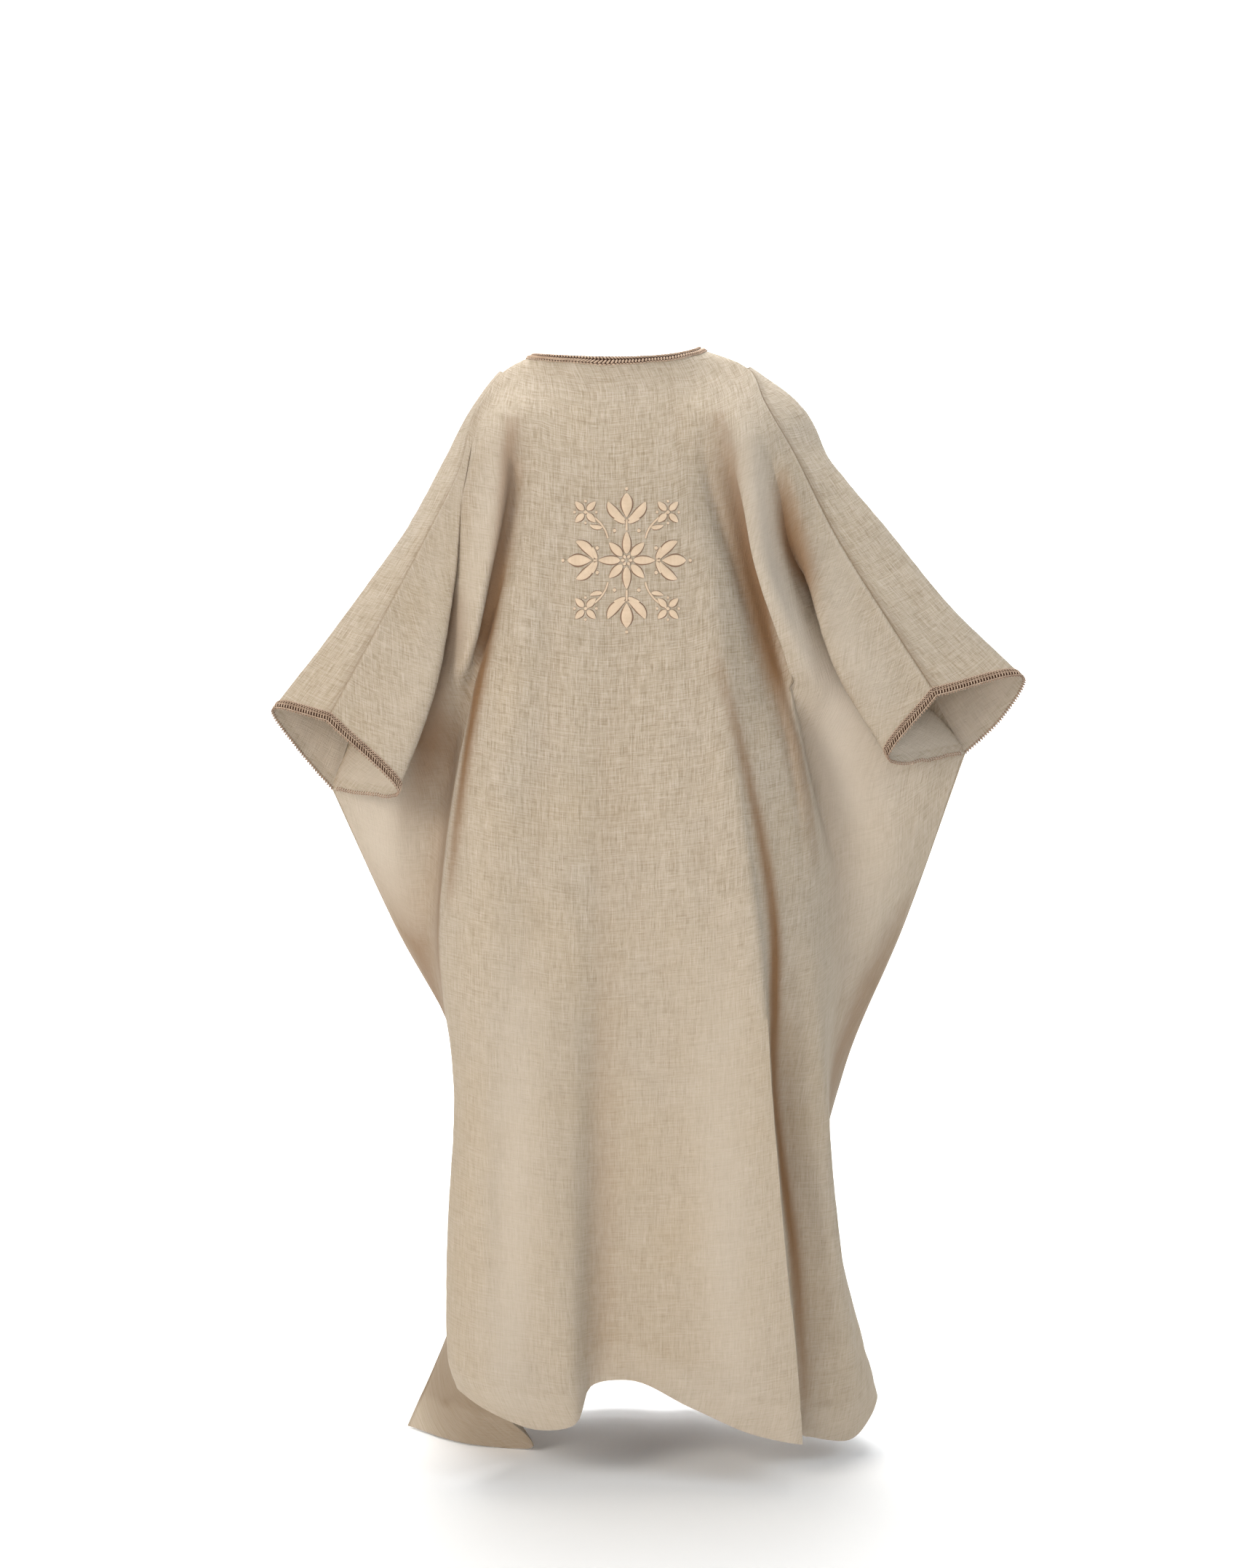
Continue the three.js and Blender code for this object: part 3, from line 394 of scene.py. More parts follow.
def back_points():
    """Fold lines read down at every row, then splines across them in three parts that meet
    at the side lines. A side line has a corner at the cuff: the part below is read alone."""
    rows = curve_rows(ROWS, CUFF - 1)
    turns = dict(zip(LINES, LINE_TURNS))
    knots = np.array([LEVELS["neck"][0] - LEVELS[name][0] for name in NAMES], float)

    def down(lines, names, where):
        """Fold lines at the rows, as splines over the levels' heights."""
        table = [[neck_point(turns[line], True), *level_points(BACK_FOLDS[line], names[1:])]
                 for line in lines]
        points = np.array(table, float).transpose(1, 0, 2)
        return spline(points, np.repeat(knots[:len(names), None], len(lines), axis=1), where)

    def across(lines, first, last):
        """Columns from one fold line to another, as splines over the lines' distances."""
        part = COLUMNS[(COLUMNS >= first) & (COLUMNS <= last)] - first
        points = lines.transpose(1, 0, 2)
        return spline(points, chord_knots(points), part).transpose(1, 0, 2)

    above = rows <= CUFF
    body = down(LINES[SIDE_LEFT:SIDE_RIGHT + 1], NAMES, rows)
    for column, line in ((0, "side_left"), (-1, "side_right")):
        below = np.array(level_points(BACK_FOLDS[line], NAMES[CUFF:]), float)[:, None]
        body[~above, column] = spline(below, knots[CUFF:, None], rows[~above] - CUFF)[:, 0]
    left = down(LINES[:SIDE_LEFT], NAMES[:CUFF + 1], rows[above])
    right = down(LINES[SIDE_RIGHT + 1:], NAMES[:CUFF + 1], rows[above])
    left = np.concatenate([left, body[above, :1]], axis=1)
    right = np.concatenate([body[above, -1:], right], axis=1)
    middle = across(body, SIDE_LEFT, SIDE_RIGHT)
    points = np.empty((len(rows), len(COLUMNS), 3))
    in_left, in_right = COLUMNS < SIDE_LEFT, COLUMNS > SIDE_RIGHT
    points[:, ~(in_left | in_right)] = middle
    points[:, in_left] = middle[:, :1]
    points[:, in_right] = middle[:, -1:]
    points[np.ix_(above, in_left)] = across(left, 0, SIDE_LEFT)[:, :-1]
    points[np.ix_(above, in_right)] = across(right, SIDE_RIGHT, len(LINES) - 1)[:, 1:]
    for first, last, powers in TUCKS:
        tuck(points, first, last, powers)
    points[0] = neck_point(np.interp(COLUMNS, np.arange(len(LINES)), LINE_TURNS), True)
    return points


def make_back():
    """The back as one sheet; below the cuff its cells end at the two side lines."""
    points = back_points()
    row_of_cell, column_of_cell = ROWS[:-1, None], COLUMNS[None, :-1]
    between = (column_of_cell >= SIDE_LEFT) & (column_of_cell < SIDE_RIGHT)
    sheet = Sheet(points, (row_of_cell < CUFF) | between, 1)
    sheet.lay_flat(column_of("centre"))
    return sheet


ARM_NAMES = NAMES[1:CUFF + 1]
ARM_ROWS = ROWS[(ROWS >= 1) & (ROWS <= CUFF)] - 1
BAND_COLUMNS = steps(BAND_CELLS, dense=((0, 1.5), (2, -1.5)))


def make_band(side, back):
    """Lines read down the arm and splines across them; the end on the shoulder is straight
    from the back seam to the top and from the top to the front seam."""
    at = 0 if side == "left" else -1
    rows = curve_rows(ARM_ROWS, CUFF - 2)
    knots = np.array([LEVELS["neck"][0] - LEVELS[name][0] for name in ARM_NAMES], float)
    table = np.array([level_points(line, ARM_NAMES) for line in BAND_LINES[side]], float)
    lines = spline(table.transpose(1, 0, 2), np.repeat(knots[:, None], 3, axis=1), rows)
    seam = back.points[(ROWS >= 1) & (ROWS <= CUFF), at][:, None]
    ribs = np.concatenate([seam, lines], axis=1).transpose(1, 0, 2)
    curved = spline(ribs, chord_knots(ribs), BAND_COLUMNS).transpose(1, 0, 2)
    share = BAND_COLUMNS[None, :, None]
    first, top, last = ribs[0][:, None], ribs[1][:, None], ribs[3][:, None]
    straight = np.where(share < 1, first + (top - first) * share,
                        top + (last - top) * (share - 1) / 2)
    bend = smooth(ARM_ROWS)[:, None, None]
    points = straight + (curved - straight) * bend
    return whole_sheet(points, 1 if side == "right" else -1)


def make_front(back, bands):
    """Between the outer lines and the middle: the neckline's half ellipse at the top turns
    into a front that hangs straight from the shoulders in soft waves."""
    level = [row[0] for row in FRONT_MIDDLE]
    cells = [FRONT["end_rows"] if name == "end" else LEVELS[name][1] for name in level[1:]]
    rows = steps(cells, dense=((len(cells) - 1, -1.4),))
    table = np.array([(fold, y, z) for _, z, y, fold in FRONT_MIDDLE], float)[:, None]
    fold, y, z = spline(table, chord_knots(table), rows)[:, 0].T
    outer = {}
    for side, at, line in (("left", 0, "side_left"), ("right", -1, "side_right")):
        shoulder = back.points[ROWS <= 1, at]
        band = bands[side].points
        top = band[0, int(np.searchsorted(BAND_COLUMNS, 1))]
        share = np.arange(1, FRONT["end_rows"] + 1)[:, None] / FRONT["end_rows"]
        end_line = np.where(share < 0.5, shoulder[-1] + (top - shoulder[-1]) * share * 2,
                            top + (band[0, -1] - top) * (share * 2 - 1))
        below = back.points[ROWS > CUFF, column_of(line)]
        outer[side] = np.concatenate([shoulder, end_line, band[1:, -1], below])
    t = np.linspace(-1, 1, FRONT["columns"] + 1)
    signed = np.sign(t) * (1 - (1 - np.abs(t)) ** FRONT["crowding"])
    share = np.abs(signed)[None]
    edge = np.where((signed < 0)[None, :, None], outer["left"][:, None], outer["right"][:, None])
    centre = np.stack([np.full_like(y, FRONT["middle_x"]), y, z], axis=-1)[:, None]
    cad_row = np.interp(rows, range(len(FRONT_CAD_ROWS)), FRONT_CAD_ROWS)
    opened = smooth(cad_row / FRONT_FREE_ROW)[:, None]
    reach = np.abs(edge[..., 0] - centre[..., 0])
    chest, bottom = LEVELS["chest"][0], LEVELS["hem"][0]
    down = np.clip((chest - z) / (chest - bottom), 0, 1)[:, None]
    hang = FRONT["hang_chest"] + (FRONT["hang_hem"] - FRONT["hang_chest"]) * down
    hang = np.minimum(hang, reach * FRONT["hang_limit"])
    past = np.maximum(share - FRONT["hang_share"], 0) / (1 - FRONT["hang_share"])
    out = np.minimum(share / FRONT["hang_share"], 1) * hang
    out += past ** FRONT["flare"] * (reach - hang)
    beyond = np.clip((out - FRONT["chest_half_width"]) / (reach - FRONT["chest_half_width"]), 0, 1)
    turn, rim = np.sin(share * np.pi / 2), np.cos(share * np.pi / 2)
    mix_x = turn + (out / reach - turn) * opened
    mix_y = rim + (1 - smooth(beyond) - rim) * opened
    arch = rim ** NECK["arch"]
    mix_z = arch + (1 - share ** FRONT["slope"] - arch) * opened
    wave = np.cos(2 * np.pi * (FRONT["fold_waves"] * share + FRONT["skew"] * signed[None]))
    ripple = fold[:, None] * (wave - 1) * 0.5 * (1 - share**3) * smooth(share * 4)
    points = np.stack([
        centre[..., 0] + (edge[..., 0] - centre[..., 0]) * mix_x,
        edge[..., 1] + (centre[..., 1] - edge[..., 1]) * mix_y + ripple,
        edge[..., 2] + (centre[..., 2] - edge[..., 2]) * mix_z,
    ], axis=-1)
    points[0] = neck_point((signed + 1) / 2, False)
    return whole_sheet(points, -1), rows


# ---- Relief -----------------------------------------------------------------------------

def crumple(flat, size, seed):
    """Value noise between -1 and 1: random numbers on a lattice of the given size (mm along
    u, v), joined by smoothstep."""
    side = 64
    lattice = np.random.default_rng(seed).uniform(-1, 1, (side, side))
    place = flat / np.array(size) + 1000
    cell = np.floor(place).astype(int)
    t = smooth(place - cell)
    c, r = cell[..., 0], cell[..., 1]
    at = lambda dr, dc: lattice[(r + dr) % side, (c + dc) % side]
    top = at(0, 0) + (at(0, 1) - at(0, 0)) * t[..., 0]
    low = at(1, 0) + (at(1, 1) - at(1, 0)) * t[..., 0]
    return top + (low - top) * t[..., 1]


def soft_wrinkles(flat, depth, seed):
    """Soft creases: bands where two slow noises cross zero, plus a finer uneven swell."""
    across, down = flat[..., 0], flat[..., 1]
    turned = np.stack([across * 0.87 + down * 0.5, down * 0.87 - across * 0.5], axis=-1)
    slow = crumple(flat, (48, 130), seed) + 0.5 * crumple(turned, (36, 90), seed + 1)
    cross = crumple(turned, (95, 40), seed + 2)
    ridge = hump(slow, 0.22) * (0.5 + 0.5 * cross) + 0.5 * hump(cross, 0.16) * np.abs(slow)
    swell = 0.5 * crumple(flat, (17, 34), seed + 3) + 0.3 * crumple(flat, (9, 13), seed + 4)
    return depth * (ridge + 0.55 * swell)


# Folds with a crisp edge: the cloth runs on in the hollow and then turns up steeply to the
# ridge line. From the hollow's line to the ridge's: the power of the turn at each level.
TUCKS = (
    ("edge_right", "fold_right",
     dict(neck=1, yoke=1, shoulder=1.3, blade=2.0, chest=2.8, elbow=2.8, cuff=2.2, hip=1)),
    ("dip_right", "ridge_right", dict(neck=1, elbow=1, cuff=1.3, hip=1.8, thigh=2.4, hem=2.4)),
)

# Creases of the back, given one by one. Each runs through places (line + share, level number + share)
# on a smooth curve, with its half width and height in mm; a trough's height is below 0.
BACK_CREASES = (
    # left: hollow between the first fold and the back's edge
    ((("fold_left", 0.55), 2.6), (("fold_left", 0.45), 4.0), (("fold_left", 0.5), 6.1), 7.5, -17),
    ((("fold_left", -0.25), 2.4), (("fold_left", -0.1), 4.2), (("fold_left", -0.2), 6.3), 14, 5),
    ((("edge_left", 0.1), 2.4), (("edge_left", 0.2), 4.2), (("edge_left", 0.3), 6.6), 13, 3),
    # right: hollow beside the first fold, and the fold's own swell
    ((("edge_right", 0.45), 2.4), (("edge_right", 0.55), 4.0), (("edge_right", 0.5), 5.8), 9, -9),
    ((("fold_right", 0.35), 1.9), (("fold_right", 0.4), 3.4), (("fold_right", 0.35), 5.4), 12, 4),
    # under each shoulder blade
    ((("mid_left", -0.4), 3.6), (("mid_left", -0.1), 5.0), (("mid_left", 0.1), 6.6), 26, -3),
    ((("far_right", -0.3), 4.6), (("far_right", -0.1), 6.0), (("far_right", 0.0), 7.6), 24, -3),
)
# Down the skirt: (line + share at the top, level), (line + share at the bottom, level).
SKIRT_CREASES = (
    ((("mid_left", 0.3), 7.0), (("mid_left", 0.35), 8.4), (("mid_left", 0.3), 9.9), 24, 4),
    ((("ridge_left", 0.45), 7.2), (("ridge_left", 0.5), 8.6), (("ridge_left", 0.5), 9.7), 20, -5),
    ((("recess", 0.2), 7.2), (("recess", 0.3), 8.8), (("recess", 0.3), 10.2), 26, -5),
    ((("mid_right", 0.4), 7.0), (("mid_right", 0.5), 8.8), (("mid_right", 0.5), 10.4), 28, 4),
    ((("far_right", 0.5), 7.4), (("far_right", 0.6), 8.8), (("far_right", 0.6), 10.3), 20, -4),
    ((("edge_right", -0.35), 7.4), (("edge_right", -0.3), 8.8), (("edge_right", -0.3), 10.4), 16, 7),
    ((("edge_right", 0.5), 8.2), (("edge_right", 0.45), 9.2), (("edge_right", 0.4), 10.3), 12, -5),
)

# Painted shade: where the cloth is painted browner and darker deep inside a fold, where little light
# reaches: curves as above, half width, and share. A pair of half widths is for the wearer's left and
# right of the curve.
PAINTED_FOLD_SHADE = (
    ((("edge_right", 0.8), 1.8), (("edge_right", 0.42), 4.2), (("edge_right", 0.42), 6.7),
     (20, 6), 0.85),
    ((("fold_left", 0.15), 2.0), (("fold_left", 0.55), 4.3), (("edge_left", 0.0), 6.9), (10, 13), 1.3),
    ((("side_right", 0.0), 2.9), (("side_right", 0.35), 4.3), (("side_right", 0.75), 5.5),
     (26, 22), 1.05),
    ((("side_left", 0.3), 2.4), (("side_left", 0.3), 4.4), (("side_left", 0.0), 6.0), 24, 0.25),
    ((("wing_left", -0.1), 4.2), (("wing_left", 0.1), 5.1), (("wing_left", 0.1), 6.3), (14, 24), 1.3),
    ((("fold_left", 0.3), 5.6), (("fold_left", 0.6), 6.8), (("fold_left", 0.6), 8.4), (40, 14), 0.75),
    ((("side_left", 0.7), 6.5), (("wing_left", 0.1), 7.4), (("wing_left", 0.6), 8.3), 46, 0.75),
    ((("wing_right", 0.5), 6.8), (("wing_right", 0.4), 7.6), (("wing_right", 0.2), 8.7), 40, 0.6),
    ((("ridge_right", -0.3), 4.9), (("ridge_right", 0.78), 7.6), (("dip_right", -0.15), 10.98),
     (10, 9), 1.0),
)
# Painted highlights: where ridges and flaps that catch the light are painted paler, below 0.
PAINTED_HIGHLIGHTS = (
    ((("fold_right", 0.3), 2.0), (("fold_right", 0.55), 4.0), (("fold_right", 0.6), 6.4), 24, -0.75),
    ((("wing_right", -0.5), 4.8), (("wing_right", -0.4), 6.1), (("wing_right", -0.2), 7.4), 62, -0.6),
    ((("side_left", 0.6), 5.4), (("wing_left", -0.3), 6.3), (("wing_left", -0.1), 7.1), 60, -0.8),
    ((("fold_left", -0.5), 1.8), (("fold_left", -0.45), 4.0), (("wing_left", 0.4), 5.9), 26, -0.5),
    ((("flap_left", -0.5), 3.0), (("flap_left", -0.5), 4.5), (("flap_left", -0.5), 5.9), 30, -0.25),
    ((("flap_right", 0.4), 3.6), (("flap_right", 0.4), 4.9), (("flap_right", 0.4), 5.95), 30, -0.45),
    ((("mid_left", -0.2), 6.8), (("ridge_left", 0.7), 8.8), (("ridge_left", 0.6), 10.9), 34, -0.5),
    ((("far_right", 0.1), 6.8), (("far_right", -0.3), 8.8), (("far_right", -0.3), 10.9), 40, -0.45),
)
# Painted shade: where the cloth lies on the ground it is painted greyer and darker.
PAINTED_FLOOR_SHADE = (
    ((("side_left", -0.4), 10.7), (("wing_left", 0.0), 10.6), (("fold_left", 0.7), 10.7), 75, 0.62),
)


def tuck(points, first, last, powers):
    """Between two fold lines x goes early and y goes late by the same power of the share."""
    a, b = column_of(first), column_of(last)
    power = np.interp(ROWS, [NAMES.index(name) for name in powers], list(powers.values()))[:, None]
    columns = np.arange(min(a, b), max(a, b) + 1)
    share = np.abs(COLUMNS[columns] - LINES.index(first))[None]
    start, end = points[:, a, None], points[:, b, None]
    early, late = 1 - (1 - share) ** power, share**power
    blend = np.clip(power - 1, 0, 1)
    turned = points[:, columns].copy()
    turned[..., 0] += (start[..., 0] + (end - start)[..., 0] * early - turned[..., 0]) * blend
    turned[..., 1] += (start[..., 1] + (end - start)[..., 1] * late - turned[..., 1]) * blend
    points[:, columns] = turned


def creases(sheet, table):
    """Sum of long humps: height times a bell of the distance from the crease's curve on the
    flat cloth, fading at both ends by a power of the sine of the share along it. A pair of
    widths is for the curve's two sides."""
    total = np.zeros(sheet.flat.shape[:2])
    for *stops, width, height in table:
        places = []
        for (line, share), level in stops:
            column = int(np.argmin(np.abs(COLUMNS - (LINES.index(line) + share))))
            row = int(np.argmin(np.abs(ROWS - level)))
            places.append(sheet.flat[row, column])
        a, b, c = places
        t = np.linspace(0, 1, 25)[:, None]
        handle = 2 * b - 0.5 * (a + c)
        curve = a * (1 - t) ** 2 + 2 * handle * t * (1 - t) + c * t**2
        best = np.full(total.shape, np.inf)
        along, right = np.zeros(total.shape), np.zeros(total.shape)
        for k in range(len(curve) - 1):
            way = curve[k + 1] - curve[k]
            share = np.clip(((sheet.flat - curve[k]) @ way) / (way @ way), 0, 1)
            off = sheet.flat - curve[k] - share[..., None] * way
            distance = np.linalg.norm(off, axis=-1)
            nearer = distance < best
            right = np.where(nearer, off[..., 0] * way[1] - off[..., 1] * way[0], right)
            along = np.where(nearer, (k + share) / (len(curve) - 1), along)
            best = np.where(nearer, distance, best)
        wide = np.where(right < 0, *width) if isinstance(width, tuple) else width
        total += height * hump(best, wide) * np.sin(np.pi * along) ** 0.6
    return total


def cavity(sheet, reach):
    """How deep a point lies in a hollow, 0 to 1: its depth below the mean of the points
    `reach` mm away along the rows, over a third of that reach."""
    here = sheet.points
    normal = sheet.normals()
    across = sheet.flat[..., 0]
    depth = np.zeros(across.shape)
    for r in range(len(here)):
        order = across[r]
        for place in (order - reach, order + reach):
            beside = np.stack([np.interp(place, order, here[r, :, k]) for k in range(3)], axis=-1)
            depth[r] += ((beside - here[r]) * normal[r]).sum(-1) / 2
    return np.clip(depth / (reach / 3), 0, 1)


def beside_seam(distance):
    """Share of the wrinkles left near a seam: a quarter on it, all of them at their reach."""
    return 0.25 + 0.75 * smooth(distance / WRINKLE_REACH)


def seam_relief(distance, depth, flap):
    """A groove at the seam. On the flap a thin ridge stands beside it; on the band the
    turned-in allowance makes a flat strip with a soft swell further out."""
    groove = -depth * hump(distance, SEAM["groove"])
    if flap:
        return groove + 0.55 * hump(distance - SEAM["ridge_at"], SEAM["ridge"])
    allowance = 1 - smooth((distance - SEAM["allowance"]) / 3)
    return groove - 0.3 * allowance + 0.9 * hump(distance - SEAM["swell_at"], SEAM["swell"])


def seam_tone(distance, flap):
    """How dark a seam looks: a thin dark line at the stitches, painted shade of the groove, with a
    painted highlight on the ridge beside it on the flap, and on the band a browner strip and a painted
    highlight on the swell past it."""
    line = 0.9 * hump(distance, SEAM["line"])
    if flap:
        return line - 0.3 * hump(distance - SEAM["ridge_at"], SEAM["ridge"])
    allowance = 1 - smooth((distance - SEAM["allowance"]) / 3)
    return line + 0.26 * allowance - 0.12 * hump(distance - SEAM["swell_at"], SEAM["swell"])


def hem_tone(distance, width):
    """A pale double layer with a dark stitched line at its top."""
    return 0.30 * hump(distance - width, 1.6) - 0.14 * (1 - smooth((distance - width) / 3))


def cuff_tone(distance):
    """Inside a cuff the turned-in cloth is a browner strip with a darker line at its end."""
    strip = 1 - smooth((distance - CUFF_TURN["width"]) / 2)
    return 0.35 * strip + 0.35 * hump(distance - CUFF_TURN["line_at"], CUFF_TURN["line"])


def hem_relief(distance, width):
    """Turned-up hem: a step of 0.6 mm at its width and a stitched line just inside it."""
    return 0.6 * (1 - smooth((distance - width) / 3)) - 0.7 * hump(distance - width + 3, 1.6)


# ---- Meshes -----------------------------------------------------------------------------

def new_object(name, vertices, quads, material, loops=None, smooth_angle=1.2):
    """Mesh object from vertices in millimetres; loops (n, 2) is its flat map by vertex."""
    mesh = bpy.data.meshes.new(name)
    quads = np.asarray(quads, np.int32)
    mesh.vertices.add(len(vertices))
    mesh.vertices.foreach_set("co", (np.asarray(vertices) * MM).astype(np.float32).ravel())
    mesh.loops.add(quads.size)
    mesh.loops.foreach_set("vertex_index", quads.ravel())
    mesh.polygons.add(len(quads))
    starts = np.arange(0, quads.size, quads.shape[1], dtype=np.int32)
    mesh.polygons.foreach_set("loop_start", starts)
    mesh.update(calc_edges=True)
    if loops is not None:
        layer = mesh.uv_layers.new(name="flat")
        by_loop = (np.asarray(loops) * MM)[quads.ravel()]
        layer.data.foreach_set("uv", by_loop.astype(np.float32).ravel())
    mesh.validate()
    mesh.shade_smooth()
    mesh.set_sharp_from_angle(angle=smooth_angle)
    obj = bpy.data.objects.new(name, mesh)
    obj.data.materials.append(material)
    bpy.context.scene.collection.objects.link(obj)
    return obj


def shell(name, sheet, thickness, material):
    """Thin closed cloth: the grid outside, the same grid moved in, narrow faces round it.
    Its "hollow" attribute is how deep a point lies in narrow and wide folds plus the listed
    fold shade, 0 to 1, by which the linen paints shade; its second attribute is how much darker
    the sewing and painted shade make it, and how much paler painted highlights make it."""
    rows, cols = sheet.points.shape[:2]
    outer = sheet.points.reshape(-1, 3)
    inner = outer - sheet.normals().reshape(-1, 3) * thickness
    number = np.arange(rows * cols).reshape(rows, cols)
    cells = sheet.cloth
    corner = [number[:-1, :-1], number[:-1, 1:], number[1:, 1:], number[1:, :-1]]
    face = np.stack([n[cells] for n in corner], axis=-1)
    if sheet.outward > 0:
        face = face[:, ::-1]
    padded = np.pad(cells, 1)
    rims = []
    for offset, a, b in (((-1, 0), corner[1], corner[0]), ((0, 1), corner[2], corner[1]),
                         ((1, 0), corner[3], corner[2]), ((0, -1), corner[0], corner[3])):
        beside = padded[1 + offset[0]:rows + offset[0], 1 + offset[1]:cols + offset[1]]
        free = cells & ~beside
        pair = np.stack([a[free], b[free], b[free] + rows * cols, a[free] + rows * cols], axis=-1)
        rims.append(pair if sheet.outward < 0 else pair[:, ::-1])
    quads = np.concatenate([face, face[:, ::-1] + rows * cols, *rims])
    used = np.unique(quads)
    renumber = np.zeros(2 * rows * cols, int)
    renumber[used] = np.arange(len(used))
    flat = np.tile(sheet.flat.reshape(-1, 2), (2, 1))
    obj = new_object(name, np.concatenate([outer, inner])[used], renumber[quads], material,
                     flat[used])
    # Painted shade: a quarter of the mean cavity plus the listed fold shade; the linen is painted
    # browner and darker by it.
    hollow = np.clip(0.25 * (cavity(sheet, 22) + cavity(sheet, 55)) / 2 + sheet.deep, 0, 1)
    for label, faces in (("hollow", (hollow, hollow)), ("sewn", (sheet.sewn, sheet.inside_sewing_and_painted_light))):
        values = np.stack([np.broadcast_to(face, (rows, cols)) for face in faces])
        attribute = obj.data.attributes.new(label, "FLOAT", "POINT")
        attribute.data.foreach_set("value", values.reshape(-1)[used].astype(np.float32))
    return obj


def grid_quads(rows, cols):
    """Quads between the points of a grid, row after row."""
    number = np.arange(rows * cols).reshape(rows, cols)
    corners = number[:-1, :-1], number[:-1, 1:], number[1:, 1:], number[1:, :-1]
    return np.stack(corners, axis=-1).reshape(-1, 4)


def tube_quads(sections, around, closed=False):
    """Quads between rings of `around` points, ring after ring, closed into a loop or not."""
    ring = np.arange(sections if closed else sections - 1)[:, None]
    k = np.arange(around)[None]
    after, beside = (ring + 1) % sections, (k + 1) % around
    return np.stack([ring * around + k, ring * around + beside,
                     after * around + beside, after * around + k], axis=-1).reshape(-1, 4)


def repeated(quads, count, points):
    """The same quads for each of `count` copies of as many points."""
    return (quads[None] + (np.arange(count) * points)[:, None, None]).reshape(-1, 4)


# ---- Trims on an edge -------------------------------------------------------------------

@dataclass
class Edge:
    """Even stations along a cloth edge: point, way into the cloth and normal, one a mm."""
    point: np.ndarray
    into: np.ndarray
    normal: np.ndarray
    length: float
    ring: bool

    def place(self, along, across, up):
        """Point at a length along the edge, a width into the cloth and a height above it."""
        along = along % self.length if self.ring else along
        at = along / self.length * (len(self.point) - 1)
        low = np.clip(np.floor(at).astype(int), 0, len(self.point) - 2)
        t = (at - low)[..., None]
        point, into, normal = (v[low] + (v[low + 1] - v[low]) * t
                               for v in (self.point, self.into, self.normal))
        return point + into * across[..., None] + normal * up[..., None]


def edge_along(point, beyond, normal, ring):
    """Resamples an edge at even lengths, and points each station's way into the cloth."""
    if ring:
        point, beyond, normal = (np.concatenate([v, v[:1]]) for v in (point, beyond, normal))
    length = np.concatenate([[0], np.cumsum(np.linalg.norm(np.diff(point, axis=0), axis=-1))])
    even = np.linspace(0, length[-1], int(length[-1]) + 1)
    into = beyond - point
    into -= normal * (into * normal).sum(-1, keepdims=True)
    into /= np.linalg.norm(into, axis=-1, keepdims=True)
    resample = lambda v: np.stack([np.interp(even, length, v[:, k]) for k in range(3)], axis=-1)
    return Edge(resample(point), resample(into), resample(normal), float(length[-1]), ring)


def even_places(edge, pitch):
    """Middles of even spaces of about a pitch along an edge."""
    count = int(edge.length / pitch)
    return (np.arange(count) + 0.5) * (edge.length / count)


def even_steps(edge, step):
    """Lengths along an edge about a step apart; round a ring the last one is left out."""
    count = int(edge.length / step)
    return np.linspace(0, edge.length, count + (0 if edge.ring else 1), endpoint=not edge.ring)


def beads(edge, pitch, centre, size, slant, lift, rings=9, around=8):
    """Slanted drops side by side along an edge, like the strands of a plait.

    Each is an ellipsoid with half sizes `size` along, across and up; its middle line leans
    along the edge by `slant` times the distance across.
    """
    start = even_places(edge, pitch)
    count = len(start)
    turn = np.linspace(-1, 1, rings)
    angle = np.arange(around) / around * 2 * np.pi
    width = np.sqrt(np.maximum(1 - turn**2, 0.02))
    across = np.repeat(turn[:, None] * size[1], around, axis=1)
    along = width[:, None] * np.cos(angle) * size[0] + across * slant
    up = width[:, None] * np.sin(angle) * size[2]
    shape = (count, rings, around)
    vertices = edge.place(start[:, None, None] + along, np.broadcast_to(centre + across, shape),
                          np.broadcast_to(lift + up, shape))
    return vertices.reshape(-1, 3), repeated(tube_quads(rings, around), count, rings * around)


def bead_rows(edge, pitch, rows):
    """Rows of beads from a table, each with the number of its thread."""
    return [(thread, beads(edge, pitch, *row)) for *row, thread in rows]


def hoops(edge, pitch, centre, half, strand, slant, lift, sides=14, around=6):
    """Open slanted loops side by side, like crochet chains: tubes along ellipses that lie
    on the cloth and tip up at one end."""
    start = even_places(edge, pitch)
    count = len(start)
    a = np.arange(sides) / sides * 2 * np.pi
    k = np.arange(around) / around * 2 * np.pi
    across = half[1] * np.sin(a)
    along = half[0] * np.cos(a) + slant * across
    ring_across = across[:, None] + strand * np.cos(k) * np.sin(a)[:, None]
    ring_along = along[:, None] + strand * np.cos(k) * np.cos(a)[:, None]
    ring_up = lift + 0.5 * np.cos(a)[:, None] + strand * np.sin(k)
    shape = (count, sides, around)
    vertices = edge.place(start[:, None, None] + ring_along,
                          np.broadcast_to(centre + ring_across, shape),
                          np.broadcast_to(ring_up, shape))
    quads = tube_quads(sides, around, closed=True)
    return vertices.reshape(-1, 3), repeated(quads, count, sides * around)


def ribbon(edge, near, far, up, step=2.0):
    """Closed strip along an edge from `near` to `far` in the cloth, its top `up` above it."""
    along = even_steps(edge, step)
    profile = np.array(((near, 0.1), (near, up), (far, up), (far, 0.1)))
    shape = (len(along), len(profile))
    vertices = edge.place(np.broadcast_to(along[:, None], shape),
                          *(np.broadcast_to(part, shape) for part in profile.T))
    quads = tube_quads(len(along), len(profile), closed=edge.ring)
    return vertices.reshape(-1, 3), quads


